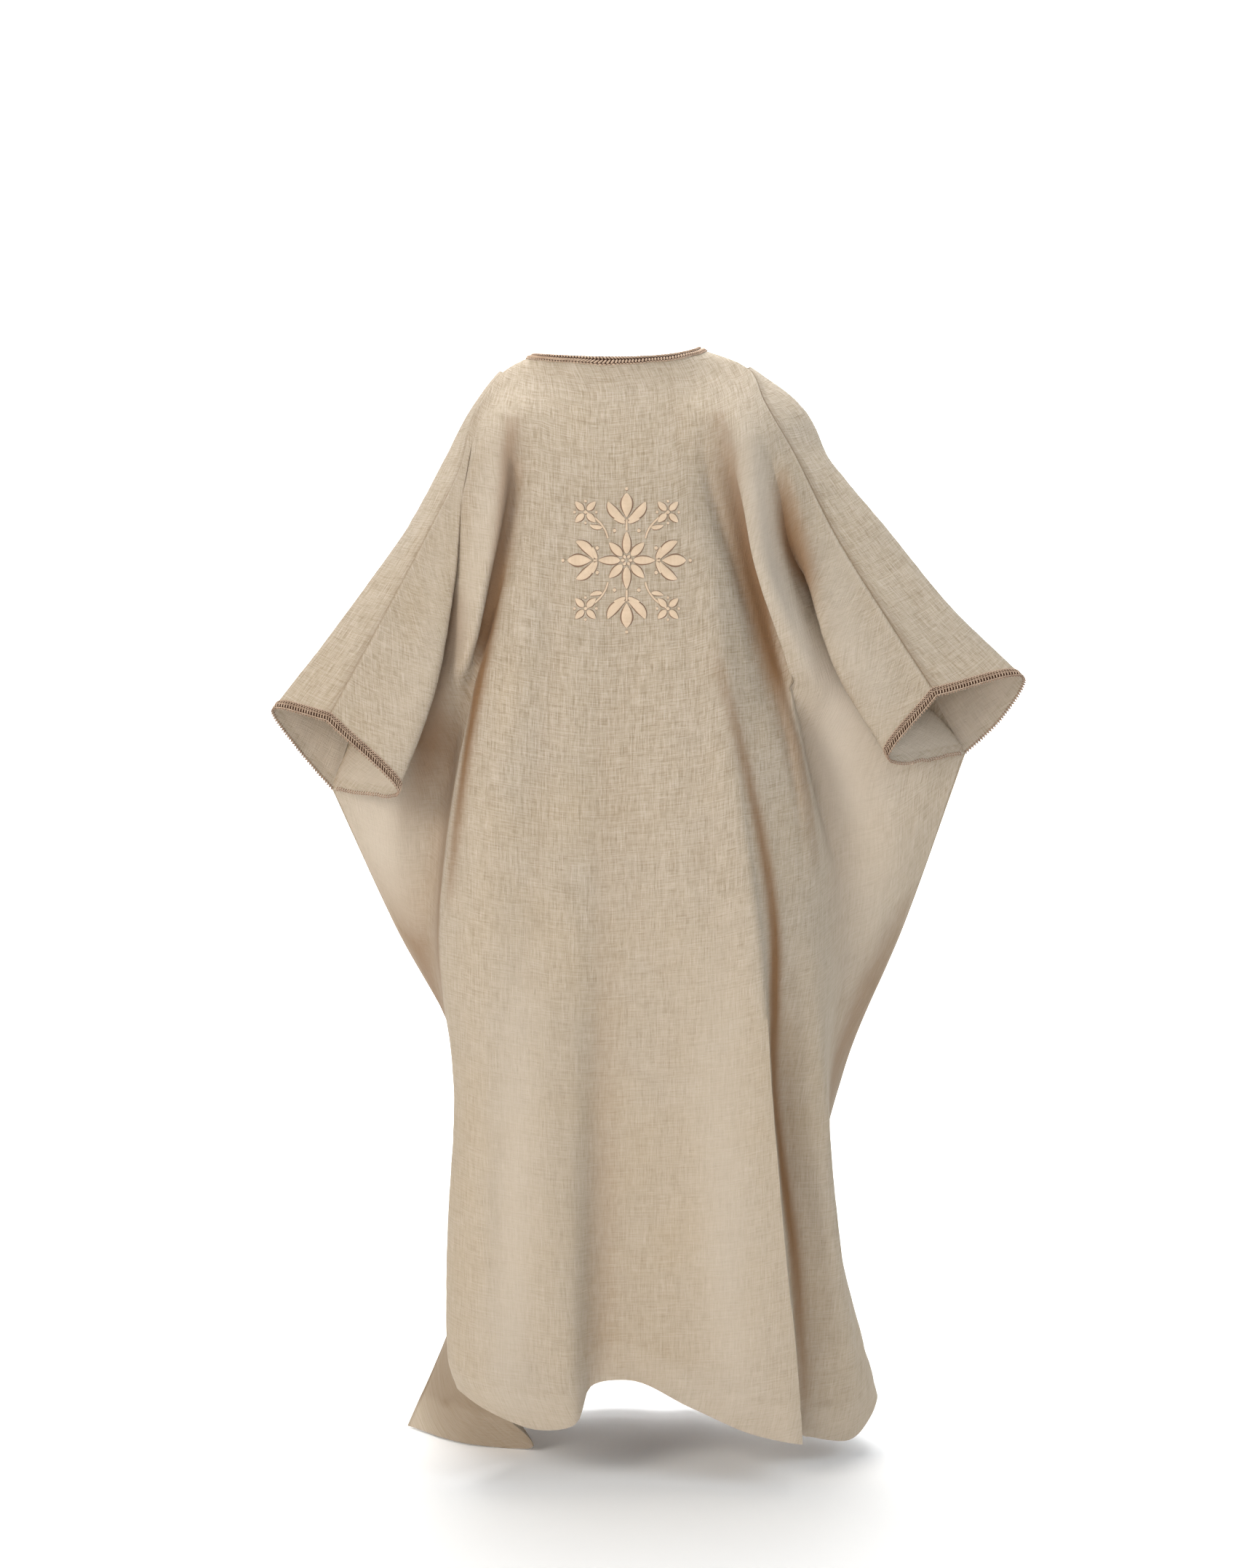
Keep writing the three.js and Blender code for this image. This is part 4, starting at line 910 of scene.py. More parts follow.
def cord(edge, centre, radius, lift, wave, pitch, around=7, step=1.0):
    """Thin round cord along an edge; `wave` swings it across once in each pitch."""
    along = even_steps(edge, step)
    angle = np.arange(around) / around * 2 * np.pi
    swing = wave * np.sin(2 * np.pi * along / pitch)[:, None]
    shape = (len(along), around)
    vertices = edge.place(np.broadcast_to(along[:, None], shape),
                          centre + swing + radius * np.cos(angle)[None],
                          np.broadcast_to(lift + radius * np.sin(angle), shape))
    return vertices.reshape(-1, 3), tube_quads(len(along), around, closed=edge.ring)


def joined(parts):
    """One list of vertices and quads from several, with each part's number by face."""
    vertices, quads, kind, base = [], [], [], 0
    for number, (points, faces) in parts:
        vertices.append(points)
        quads.append(faces + base)
        kind.append(np.full(len(faces), number))
        base += len(points)
    return np.concatenate(vertices), np.concatenate(quads), np.concatenate(kind)


def trim_object(name, parts, materials):
    """Object whose faces take the material numbered with their part."""
    vertices, quads, kind = joined(parts)
    obj = new_object(name, vertices, quads, materials[0])
    for material in materials[1:]:
        obj.data.materials.append(material)
    obj.data.polygons.foreach_set("material_index", kind.astype(np.int32))
    return obj


# ---- Ornament ---------------------------------------------------------------------------

def satin(spine, half_width, height, across=9):
    """Raised satin-stitched stroke: (x, y, up, share along, share across) of a grid.

    The spine is drawn with the half width to each side; the height is that of a half
    ellipse across, and a low brown edge runs outside it.
    """
    spine = np.asarray(spine, float)
    way = np.gradient(spine, axis=0)
    way /= np.maximum(np.linalg.norm(way, axis=-1, keepdims=True), 1e-9)
    side = np.stack([-way[:, 1], way[:, 0]], axis=-1)
    inner = np.linspace(-STROKE["stitched"], STROKE["stitched"], across - 2)
    t = np.concatenate([[-1.0], inner, [1.0]])
    reach = (half_width[:, None] + STROKE["edge"]) * t
    place = spine[:, None] + side[:, None] * reach[..., None]
    stitched = np.abs(t) <= STROKE["stitched"]
    rise = np.where(stitched, STROKE["foot"] + height * np.sqrt(1 - t**2), 0.0)
    along = np.linspace(0, 1, len(spine))
    return np.stack([place[..., 0], place[..., 1], np.broadcast_to(rise, place.shape[:2]),
                     np.broadcast_to(along[:, None], place.shape[:2]),
                     np.broadcast_to(t, place.shape[:2])], axis=-1)


def petal(start, angle, length, width, height, point=0.8, bend=0.0, count=17):
    """Leaf-shaped stroke from a start point: half width by sine of the share to a power."""
    s = np.linspace(0, 1, count)
    turn = angle + bend * (s - 0.5)
    step = np.stack([np.cos(turn), np.sin(turn)], axis=-1) * length / (count - 1)
    spine = np.asarray(start) + np.cumsum(np.concatenate([np.zeros((1, 2)), step[:-1]]), axis=0)
    return satin(spine, width / 2 * np.sin(np.pi * s**point) ** 0.75, height)


def stem(points, width, height, count=33):
    """Even stroke along a quadratic curve through a start, a handle and an end."""
    a, b, c = (np.asarray(p, float) for p in points)
    t = np.linspace(0, 1, count)[:, None]
    spine = a * (1 - t) ** 2 + 2 * b * t * (1 - t) + c * t**2
    return satin(spine, np.full(count, width / 2), height, across=7)


def way_of(angle):
    """Unit step (x, y) at an angle."""
    return np.array([np.cos(angle), np.sin(angle)])


def dot(middle, size, height):
    """Small round stroke: a petal as wide as it is long, with its middle at a place."""
    return petal(middle - np.array((size / 2, 0)), 0, size, size, height, point=1, count=9)


def ornament_strokes(width, height, relief):
    """Rosette of eight petals; tulip buds above, below and beside it; a small four-petalled
    flower on each diagonal; thin stems and dots between them."""
    strokes = []
    for k, angle in enumerate(np.arange(8) / 8 * 2 * np.pi):
        strokes.append(petal(9 * way_of(angle), angle, 25 if k % 2 else 30, 12, relief))
        strokes.append(dot(44 * way_of(angle + np.pi / 8), 5, relief * 0.8))
    for angle in np.arange(6) / 6 * 2 * np.pi:
        strokes.append(petal(3 * way_of(angle), angle, 5, 4, relief, point=1, count=9))
    for angle, far in ((np.pi / 2, 56), (-np.pi / 2, 56), (0, 46), (np.pi, 46)):
        way = way_of(angle)
        side = np.array([-way[1], way[0]])
        foot = way * far
        strokes.append(stem((way * 41, way * (far - 5), foot), 1.8, relief * 0.6, count=9))
        strokes.append(petal(foot + way * 3, angle, 33, 17, relief, point=1.2))
        strokes.append(dot(foot + way * 42, 4.4, relief))
        for sign in (-1, 1):
            strokes.append(petal(foot + side * sign * 2, angle + sign * 0.75, 35, 13, relief,
                                 point=1.1, bend=-sign * 1.0))
            strokes.append(petal(foot - way * 5 + side * sign * 2, angle + sign * 1.25, 17, 6,
                                 relief, bend=sign * 0.5))
    for right, up in ((1, 1), (-1, 1), (-1, -1), (1, -1)):
        corner = np.array([right, up])
        centre = (57, 66) * corner
        strokes.append(stem(((26, 30) * corner, (30, 52) * corner, centre), 1.6, relief * 0.5))
        strokes.append(petal((34, 45) * corner, np.arctan2(up * 0.2, right), 17, 6, relief,
                             bend=0.6 * right * up))
        for angle in np.pi / 4 + np.arange(4) * np.pi / 2:
            strokes.append(petal(centre + 3.5 * way_of(angle), angle, 16, 9, relief))
            strokes.append(dot(centre + 15 * way_of(angle + np.pi / 4), 3.6, relief * 0.8))
        strokes.append(dot(centre, 4.8, relief))
    for stroke in strokes:
        stroke[..., 0] *= width / DRAWN_WIDTH
        stroke[..., 1] *= height / DRAWN_HEIGHT
    return strokes


def on_sheet(sheet, x, z, start, rounds=40, part=0.7):
    """Points of a sheet at the given x and z, and its normals there: each round moves the
    column by a part of the miss in x over the row's slope, and the row by a part of the miss
    in z over the column's slope."""
    row = np.full(x.shape, float(start[0]))
    column = np.full(x.shape, float(start[1]))

    def read(values):
        """Values between grid points by the shares along the row and down the column."""
        r, c = np.floor(row).astype(int), np.floor(column).astype(int)
        fr, fc = (row - r)[..., None], (column - c)[..., None]
        return ((values[r, c] * (1 - fc) + values[r, c + 1] * fc) * (1 - fr)
                + (values[r + 1, c] * (1 - fc) + values[r + 1, c + 1] * fc) * fr)

    down, right = np.gradient(sheet.points, axis=0), np.gradient(sheet.points, axis=1)
    last_row, last_column = (count - 3 for count in sheet.points.shape[:2])
    for _ in range(rounds):
        here, by_row, by_column = read(sheet.points), read(down), read(right)
        column = np.clip(column + part * (x - here[..., 0]) / by_column[..., 0], 1, last_column)
        row = np.clip(row + part * (z - here[..., 2]) / by_row[..., 2], 1, last_row)
    normal = read(sheet.normals())
    return read(sheet.points), normal / np.linalg.norm(normal, axis=-1, keepdims=True)


# ---- Materials --------------------------------------------------------------------------

class Shader:
    """Adds nodes to a new material and joins them."""

    def __init__(self, name):
        self.material = bpy.data.materials.new(name)
        self.material.use_nodes = True
        self.tree = self.material.node_tree
        self.tree.nodes.clear()

    def node(self, kind, inputs=None, **settings):
        """Adds a node; inputs are values or other nodes' sockets by name or number."""
        made = self.tree.nodes.new("ShaderNode" + kind)
        for key, value in settings.items():
            setattr(made, key, value)
        for key, value in (inputs or {}).items():
            if isinstance(value, bpy.types.NodeSocket):
                self.tree.links.new(value, made.inputs[key])
            else:
                made.inputs[key].default_value = value
        return made

    def math(self, operation, a, b=0.0):
        """One sum of two values."""
        return self.node("Math", {0: a, 1: b}, operation=operation).outputs[0]

    def mix(self, share, a, b):
        """Colour a where the share is 0, colour b where it is 1."""
        made = self.node("Mix", {"Factor": share}, data_type="RGBA")
        colours = [s for s in made.inputs if s.type == "RGBA"]
        for socket, value in zip(colours, (a, b)):
            if isinstance(value, bpy.types.NodeSocket):
                self.tree.links.new(value, socket)
            else:
                socket.default_value = value
        return [s for s in made.outputs if s.type == "RGBA"][0]

    def noise(self, vector, scale, detail=2.0, rough=0.5):
        """Noise whose grain is stretched: `scale` counts grains a metre along each axis."""
        mapped = self.node("Mapping", {"Vector": vector, "Scale": scale}).outputs[0]
        return self.node("TexNoise", {"Vector": mapped, "Scale": 1.0, "Detail": detail,
                                      "Roughness": rough}).outputs[0]

    def between(self, value, low, high, to_low=0.0, to_high=1.0):
        """Linear step of a value from low..high to to_low..to_high, held at the ends."""
        return self.node("MapRange", {"Value": value, "From Min": low, "From Max": high,
                                      "To Min": to_low, "To Max": to_high}).outputs[0]

    def bump(self, strength, distance, height):
        """Normal raised by a height between 0 and 1, times a distance in metres."""
        return self.node("Bump", {"Strength": strength, "Distance": distance,
                                  "Height": height}).outputs[0]

    def output(self, surface):
        """Joins the surface to the material's output and gives the material."""
        self.node("OutputMaterial", {"Surface": surface})
        return self.material


# Shares of the linen's colour: pale thread, also used for painted highlights; dark thread; painted
# shade deep in a fold;
# at a seam's stitches, also used for the painted shade of the seams and of the cloth on the floor; and
# the light that comes through the cloth.
LINEN_TONES = ((1.27, 1.30, 1.36), (0.66, 0.62, 0.54), (0.47, 0.29, 0.16), (0.42, 0.33, 0.25),
               (1.2, 1.0, 0.75))


def linen_material(name, colour, look):
    """Plain-woven linen: uneven threads of three thicknesses both ways, sparse slubs, soft
    blotches, painted shade as a browner, darker tone in the hollows, a darker tone at the sewing,
    partly painted shade of the seams, painted shade where the cloth lies on the floor, painted
    highlights where that tone is below 0, and a little light through the cloth. The threads show
    more on the upper part, where the cloth is stretched: by `upper_contrast` from height 0.45 m
    under the neck up, falling to 0.78 at 1 m under it."""
    s = Shader(name)
    flat = s.node("UVMap", uv_map="flat").outputs[0]
    place = s.node("TexCoord").outputs["Object"]
    threads = None
    for across, along, weight in ((1150, 75, 0.46), (520, 26, 0.38), (230, 9, 0.16)):
        for scale, share in (((across, along, 1), 0.56), ((along, across, 1), 0.44)):
            grain = s.noise(flat, scale, detail=1.0)
            part = s.math("MULTIPLY", s.math("SUBTRACT", grain, 0.5), weight * share * 4)
            threads = part if threads is None else s.math("ADD", threads, part)
    level = s.node("SeparateXYZ", {0: place}).outputs[2]
    stretch = s.between(level, -1.0, -0.45, 0.78, look.upper_contrast)
    threads = s.math("MULTIPLY", threads, stretch)
    slubs = s.math("MAXIMUM", s.between(s.noise(flat, (420, 30, 1), detail=1.0), 0.60, 0.74),
                   s.between(s.noise(flat, (30, 420, 1), detail=1.0), 0.60, 0.74))
    blotch = s.between(s.noise(place, (6, 6, 6), detail=4.0, rough=0.6), 0.3, 0.7)
    warm = (colour[0], colour[1] * 0.965, colour[2] * 0.90, 1)
    base = s.mix(blotch, warm, (*colour, 1))
    # deep is the colour of the painted fold shade, stitched that of the sewing and of painted shade,
    # light that of the pale threads and of painted highlights.
    light, dark, deep, stitched, glow = (
        (*[min(c * f, 1.0) for c, f in zip(colour, shares)], 1) for shares in LINEN_TONES)
    woven = s.mix(s.between(threads, 0.0, 0.55, 0.0, look.thread_contrast), base, light)
    woven = s.mix(s.between(threads, 0.0, -0.55, 0.0, look.thread_contrast), woven, dark)
    tinted = s.mix(s.math("MULTIPLY", slubs, look.slub_contrast), woven, light)
    # Painted shade: browner and darker by how deep the point lies in a fold.
    hollow = s.node("Attribute", attribute_name="hollow").outputs["Fac"]
    tinted = s.mix(s.math("MULTIPLY", hollow, look.hollow_shade), tinted, deep)
    # Darker at the sewing, with painted shade on the seams and where the cloth lies on the floor;
    # paler below 0 by painted highlights.
    sewn = s.node("Attribute", attribute_name="sewn").outputs["Fac"]
    tinted = s.mix(s.between(sewn, 0.0, 1.0), tinted, stitched)
    tinted = s.mix(s.between(sewn, 0.0, -1.0), tinted, light)
    height = s.math("ADD", threads, s.math("MULTIPLY", slubs, 0.5))
    bump = s.bump(look.weave_depth, 0.0007, height)
    cloth = s.node("BsdfPrincipled", {
        "Base Color": tinted, "Roughness": 0.93, "Specular IOR Level": 0.2, "Sheen Weight": 0.12,
        "Sheen Roughness": 0.45, "Sheen Tint": (1.0, 0.93, 0.82, 1), "Normal": bump}).outputs[0]
    through = s.node("BsdfTranslucent", {"Color": glow, "Normal": bump}).outputs[0]
    return s.output(s.node("MixShader", {0: look.translucency, 1: cloth, 2: through}).outputs[0])


def thread_material(name, light, dark, grain, roughness, sheen):
    """Twisted cotton: fine fibre streaks and a darker tone in the hollows of the noise."""
    s = Shader(name)
    place = s.node("TexCoord").outputs["Object"]
    fibre = s.noise(place, (grain, grain, grain), detail=3.0, rough=0.65)
    patch = s.noise(place, (60, 60, 60), detail=2.0)
    tone = s.math("ADD", s.math("MULTIPLY", fibre, 0.7), s.math("MULTIPLY", patch, 0.3))
    colour = s.mix(s.between(tone, 0.35, 0.65), (*dark, 1), (*light, 1))
    bump = s.bump(0.5, 0.0004, fibre)
    return s.output(s.node("BsdfPrincipled", {
        "Base Color": colour, "Roughness": roughness, "Specular IOR Level": 0.3,
        "Sheen Weight": sheen, "Sheen Roughness": 0.5, "Normal": bump}).outputs[0])


def satin_material(name, cream, shade, outline):
    """Satin stitch: close parallel threads across each stroke, cream on top and brown where
    the stroke's low edge meets the cloth. The flat map holds (along, across)."""
    s = Shader(name)
    flat = s.node("UVMap", uv_map="flat").outputs[0]
    across = s.node("SeparateXYZ", {0: flat}).outputs[1]
    across = s.math("ABSOLUTE", s.math("SUBTRACT", across, 1.0))
    stitches = s.node("TexWave", {"Vector": flat, "Scale": 260.0, "Distortion": 1.2, "Detail": 1.0,
                                  "Detail Scale": 2.0}, bands_direction="X").outputs["Fac"]
    place = s.node("TexCoord").outputs["Object"]
    uneven = s.noise(place, (90, 90, 90), detail=2.0)
    tone = s.math("ADD", s.math("MULTIPLY", stitches, 0.6), s.math("MULTIPLY", uneven, 0.6))
    top = s.mix(s.between(tone, 0.3, 0.9), (*shade, 1), (*cream, 1))
    colour = s.mix(s.between(across, 0.70, 0.86), top, (*outline, 1))
    bump = s.bump(0.6, 0.0004, stitches)
    return s.output(s.node("BsdfPrincipled", {
        "Base Color": colour, "Roughness": 0.5, "Specular IOR Level": 0.45, "Sheen Weight": 0.25,
        "Normal": bump}).outputs[0])


def plain_material(name, colour, roughness):
    """Matte studio paper with a faint unevenness."""
    s = Shader(name)
    place = s.node("TexCoord").outputs["Object"]
    tone = s.between(s.noise(place, (3, 3, 3), detail=2.0), 0.3, 0.7)
    shade = s.mix(tone, (*[c * 0.99 for c in colour], 1), (*colour, 1))
    return s.output(s.node("BsdfPrincipled", {"Base Color": shade, "Roughness": roughness,
                                              "Specular IOR Level": 0.1}).outputs[0])


# ---- Settings ---------------------------------------------------------------------------

class ClothSettings(bpy.types.PropertyGroup):
    """Sizes and looks of the linen"""
    thickness: bpy.props.FloatProperty(
        name="Cloth thickness", description="Thickness of the linen as drawn", default=0.0009,
        unit="LENGTH", subtype="DISTANCE")
    wrinkle_depth: bpy.props.FloatProperty(
        name="Wrinkle depth", description="Height of the soft wrinkles", default=0.0011,
        unit="LENGTH", subtype="DISTANCE")
    seam_depth: bpy.props.FloatProperty(
        name="Seam depth", description="Depth of the groove along each seam", default=0.0014,
        unit="LENGTH", subtype="DISTANCE")
    hem_width: bpy.props.FloatProperty(
        name="Hem width", description="Width of the turned-up hem", default=0.050,
        unit="LENGTH", subtype="DISTANCE")
    colour: bpy.props.FloatVectorProperty(
        name="Linen colour", description="Linear colour of the linen",
        default=(0.458, 0.391, 0.309), size=3, subtype="COLOR")
    weave_depth: bpy.props.FloatProperty(
        name="Weave depth", description="Strength of the thread bump", default=0.55)
    thread_contrast: bpy.props.FloatProperty(
        name="Thread contrast", description="How much the threads differ in tone", default=0.85)
    upper_contrast: bpy.props.FloatProperty(
        name="Upper contrast", default=1.5,
        description="How many times stronger the threads show on the stretched upper part")
    slub_contrast: bpy.props.FloatProperty(
        name="Slub contrast", description="How much lighter the thick threads are", default=0.30)
    # Strength of the painted shade deep in the folds.
    hollow_shade: bpy.props.FloatProperty(
        name="Hollow tint", description="How brown the cloth is deep in the folds", default=0.95)
    translucency: bpy.props.FloatProperty(
        name="Translucency", description="Share of the light that goes through", default=0.16)


class BraidSettings(bpy.types.PropertyGroup):
    """Sizes of the braids"""
    neck_pitch: bpy.props.FloatProperty(
        name="Neck strand pitch", description="Distance between strands of the neck braid",
        default=0.0042, unit="LENGTH", subtype="DISTANCE")
    cuff_pitch: bpy.props.FloatProperty(
        name="Cuff loop pitch", description="Distance between loops of the cuff braids",
        default=0.0042, unit="LENGTH", subtype="DISTANCE")
    cuff_start: bpy.props.FloatProperty(
        name="Cuff start", description="Where a cuff braid starts from the side seam",
        default=0.006, unit="LENGTH", subtype="DISTANCE")


class OrnamentSettings(bpy.types.PropertyGroup):
    """Place and size of the embroidered ornament"""
    centre: bpy.props.FloatVectorProperty(
        name="Centre", description="Place of the ornament across and up",
        default=(0.015, -0.289), size=2, unit="LENGTH")
    width: bpy.props.FloatProperty(
        name="Width", description="Width of the ornament", default=0.185,
        unit="LENGTH", subtype="DISTANCE")
    height: bpy.props.FloatProperty(
        name="Height", description="Height of the ornament", default=0.220,
        unit="LENGTH", subtype="DISTANCE")
    relief: bpy.props.FloatProperty(
        name="Relief", description="Height of the stitches", default=0.0012,
        unit="LENGTH", subtype="DISTANCE")


class StageSettings(bpy.types.PropertyGroup):
    """Floor and lights"""
    floor: bpy.props.FloatProperty(
        name="Floor", description="Height of the floor", default=-1.5405,
        unit="LENGTH", subtype="DISTANCE")
    key: bpy.props.FloatProperty(
        name="Key light", description="Power of the main soft light", default=100.0,
        unit="POWER")
    fill: bpy.props.FloatProperty(
        name="Fill light", description="Power of the opposite soft light", default=32.0,
        unit="POWER")
    low: bpy.props.FloatProperty(
        name="Low light", description="Power of the soft light near the floor", default=74.0,
        unit="POWER")
    back: bpy.props.FloatProperty(
        name="Backdrop light", description="Power of the light on the backdrop", default=130.0,
        unit="POWER")
    wall: bpy.props.FloatProperty(
        name="Wall light", description="Power of the light on the far wall", default=420.0,
        unit="POWER")
    sky: bpy.props.FloatProperty(
        name="Surrounding light", description="Strength of the even light all round", default=0.45)


# ---- Operators --------------------------------------------------------------------------

# Sheets by side or panel, and finished objects by the name of their piece.
SHEETS = {}


class ABAYA_OT_panels(bpy.types.Operator):
    """Builds the back, the front and the two shoulder bands"""
    bl_idname = "abaya.panels"
    bl_label = "Build panels"

    def execute(self, context):
        look = context.scene.abaya_cloth
        linen = linen_material("linen", tuple(look.colour), look)
        back = make_back()
        bands = {side: make_band(side, back) for side in ("left", "right")}
        front, front_rows = make_front(back, bands)
        self.relieve(look, back, front, bands, front_rows)
        SHEETS.update(back=back, front=front, left=bands["left"], right=bands["right"])
        for name, sheet in (("back_panel", back), ("front_panel", front),
                            ("sleeve_band_left", bands["left"]),
                            ("sleeve_band_right", bands["right"])):
            piece = shell(name + "_cloth", sheet, look.thickness / MM, linen)
            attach(piece, "root")
            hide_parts(name)
        return {"FINISHED"}

    def relieve(self, look, back, front, bands, front_rows):
        """Seams, hems, creases and wrinkles on all four panels, each a height along the
        normal and a tone, and on the back painted fold shade, painted shade on the floor and painted
        highlights; wrinkles and tone fade toward the neck, the seams and the cuffs."""
        depth, wrinkle, hem = look.seam_depth / MM, look.wrinkle_depth / MM, look.hem_width / MM
        rows = ROWS[:, None]
        left, right = back.to_sides()
        near, below = np.minimum(left, right), back.to_end()
        calm = smooth(rows / 1.2) * (0.35 + 0.65 * smooth((rows - 3) / 1.5))
        back_height = soft_wrinkles(back.flat, wrinkle, WRINKLE_SEEDS["back"])
        back_height = back_height * calm * beside_seam(near)
        back_height += seam_relief(near, depth, True) * smooth(rows * 2 + 0.3)
        back_height += creases(back, BACK_CREASES + SKIRT_CREASES)
        back_height += hem_relief(below, hem)
        # Painted shade deep in the folds, added to how deep each point lies.
        back.deep = creases(back, PAINTED_FOLD_SHADE)
        back.sewn = (SEAM_DARKNESS["back_left"] * seam_tone(left, True)
                     + SEAM_DARKNESS["back_right"] * seam_tone(right, True)) * smooth(rows)
        # Painted shade where the cloth lies on the floor, and painted highlights on ridges that catch
        # the light.
        back.sewn += hem_tone(below, hem) + creases(back, PAINTED_FLOOR_SHADE + PAINTED_HIGHLIGHTS)
        self.turn_cuff(back)
        near, below = np.minimum(*front.to_sides()), front.to_end()
        front_height = soft_wrinkles(front.flat, wrinkle, WRINKLE_SEEDS["front"])
        front_height = front_height * smooth(front_rows / 2)[:, None] * beside_seam(near)
        front_height += seam_relief(near, depth, True) + hem_relief(below, hem)
        front.sewn = SEAM_DARKNESS["front"] * seam_tone(near, True) + hem_tone(below, hem)
        self.part_sides(back, front, front_rows)
        back.raise_by(back_height)
        front.raise_by(front_height)
        for side, band in bands.items():
            near, from_cuff = np.minimum(*band.to_sides()), band.to_end()
            height = seam_relief(near, depth, False)
            height += seam_relief(band.flat[..., 1], depth * 0.6, True)
            height += soft_wrinkles(band.flat, wrinkle, WRINKLE_SEEDS[side]) * smooth(near / 12)
            band.sewn = SEAM_DARKNESS[side] * seam_tone(near, False)
            # Paler inside the sleeve near the cuff: painted light.
            band.inside_sewing_and_painted_light = cuff_tone(from_cuff) - 0.6 * hump(from_cuff, 130)
            band.raise_by(height)

    def turn_cuff(self, back):
        """The sleeve's lower edge: a wavy turned hem, pale at the fold and browner inside, with
        painted light paling the inside of the sleeve further up. It moves down by two noises along it,
        on the stretch of each sleeve next to the body."""
        hem = int(np.searchsorted(ROWS, CUFF))
        sleeve = (COLUMNS < SIDE_LEFT) | (COLUMNS > SIDE_RIGHT)
        distance = np.where(sleeve[None], back.flat[hem:hem + 1, :, 1] - back.flat[..., 1], np.inf)
        distance = np.where(distance < 0, np.inf, distance)
        under = sum(smooth(past * 6) * smooth((UNDERSIDE - past) * 6)
                    for past in (SIDE_LEFT - COLUMNS, COLUMNS - SIDE_RIGHT))
        # The wide bell is painted light on the inside of the sleeve.
        pale = 0.9 * hump(distance, CUFF_TURN["fold"]) + 0.5 * hump(distance, 110)
        back.inside_sewing_and_painted_light = cuff_tone(distance) - pale
        down = back.points[hem] - back.points[hem - 1]
        down /= np.linalg.norm(down, axis=-1, keepdims=True)
        along = np.stack([back.flat[hem, :, 0], np.zeros(len(COLUMNS))], axis=-1)
        wave = sum(height * crumple(along, (length, 50), seed)
                   for height, length, seed in CUFF_WAVES)
        move = (wave * under)[None, :, None] * hump(distance, CUFF_WAVE_REACH)[..., None]
        back.points = back.points + down[None] * move

    def part_sides(self, back, front, front_rows):
        """Back and front lie face to face at the side seam, a gap apart: near it each moves
        along the mean of their normals by SIDE_GAP times a bell SIDE_REACH wide."""
        level = np.concatenate([[0, 1], np.arange(1, len(NAMES))])
        front_level = np.interp(front_rows, np.arange(len(level)), level)
        in_front = front_level >= CUFF - 1e-9
        in_back = ROWS >= CUFF
        normals = back.normals(), front.normals()
        back_points, front_points = back.points.copy(), front.points.copy()
        for line, at in (("side_left", 0), ("side_right", -1)):
            column = column_of(line)
            apart = normals[0][in_back, column] - normals[1][in_front, at]
            apart /= np.maximum(np.linalg.norm(apart, axis=-1, keepdims=True), 1e-9)
            body = slice(column, None) if line == "side_left" else slice(None, column + 1)
            near = hump(back.flat[..., 0] - back.flat[:, column:column + 1, 0], SIDE_REACH)
            back_points[in_back, body] += apart[:, None] * near[in_back, body, None] * SIDE_GAP
            near = hump(front.flat[..., 0] - front.flat[:, at, None, 0], SIDE_REACH)
            front_points[in_front] -= apart[:, None] * near[in_front][..., None] * SIDE_GAP
        back.points, front.points = back_points, front_points


def neck_edge():
    """The neckline all round: along the back and back again along the front."""
    back, front = SHEETS["back"], SHEETS["front"]
    point, beyond = (np.concatenate([back.points[row], front.points[row, -2:0:-1]])
                     for row in (0, 1))
    normal = np.concatenate([back.normals()[1], front.normals()[1, -2:0:-1]])
    return edge_along(point, beyond, normal, True)


def cuff_edge(side, start):
    """The cuff from near the side seam, up the back's sleeve edge and over the band."""
    back, band = SHEETS["back"], SHEETS[side]
    hem = int(np.searchsorted(ROWS, CUFF))
    fork = int(np.searchsorted(COLUMNS, SIDE_LEFT if side == "left" else SIDE_RIGHT))
    columns = np.arange(fork, -1, -1) if side == "left" else np.arange(fork, len(COLUMNS))
    back_normals, band_normals = back.normals(), band.normals()
    point = np.concatenate([back.points[hem, columns], band.points[-1, 1:]])
    beyond = np.concatenate([back.points[hem - 3, columns], band.points[-4, 1:]])
    normal = np.concatenate([back_normals[hem - 1, columns], band_normals[-2, 1:]])
    length = np.concatenate([[0], np.cumsum(np.linalg.norm(np.diff(point, axis=0), axis=-1))])
    keep = length >= start
    return edge_along(point[keep], beyond[keep], normal[keep], False)


class ABAYA_OT_braids(bpy.types.Operator):
    """Builds the plaited braid of the neck and the looped braids of the cuffs"""
    bl_idname = "abaya.braids"
    bl_label = "Build braids"

    def execute(self, context):
        look = context.scene.abaya_braid
        threads = [thread_material(*thread) for thread in THREADS]
        pitch = look.neck_pitch / MM
        neck = neck_edge()
        parts = [(GROUND, ribbon(neck, *NECK_STRIP)), *bead_rows(neck, pitch, NECK_ROWS)]
        self.add("neck_braid", parts, threads[:RIM])
        pitch = look.cuff_pitch / MM
        for side in ("left", "right"):
            edge = cuff_edge(side, look.cuff_start / MM)
            parts = [(GROUND, ribbon(edge, *CUFF_STRIP)), *bead_rows(edge, pitch, CUFF_ROWS),
                     (TAN, hoops(edge, pitch, **CUFF_HOOPS))]
            for centre, radius in CUFF_CORDS:
                parts.append((TAN, cord(edge, centre, radius, CORD_LIFT, CORD_WAVE, pitch)))
            self.add("cuff_braid_" + side, parts, threads)
        return {"FINISHED"}

    def add(self, name, parts, materials):
        """Builds a braid, hangs it on the root and hides the CAD's node of its name, in whose place it
        stands.
        """
        piece = trim_object(name + "_plait", parts, materials)
        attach(piece, "root")
        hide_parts(name)


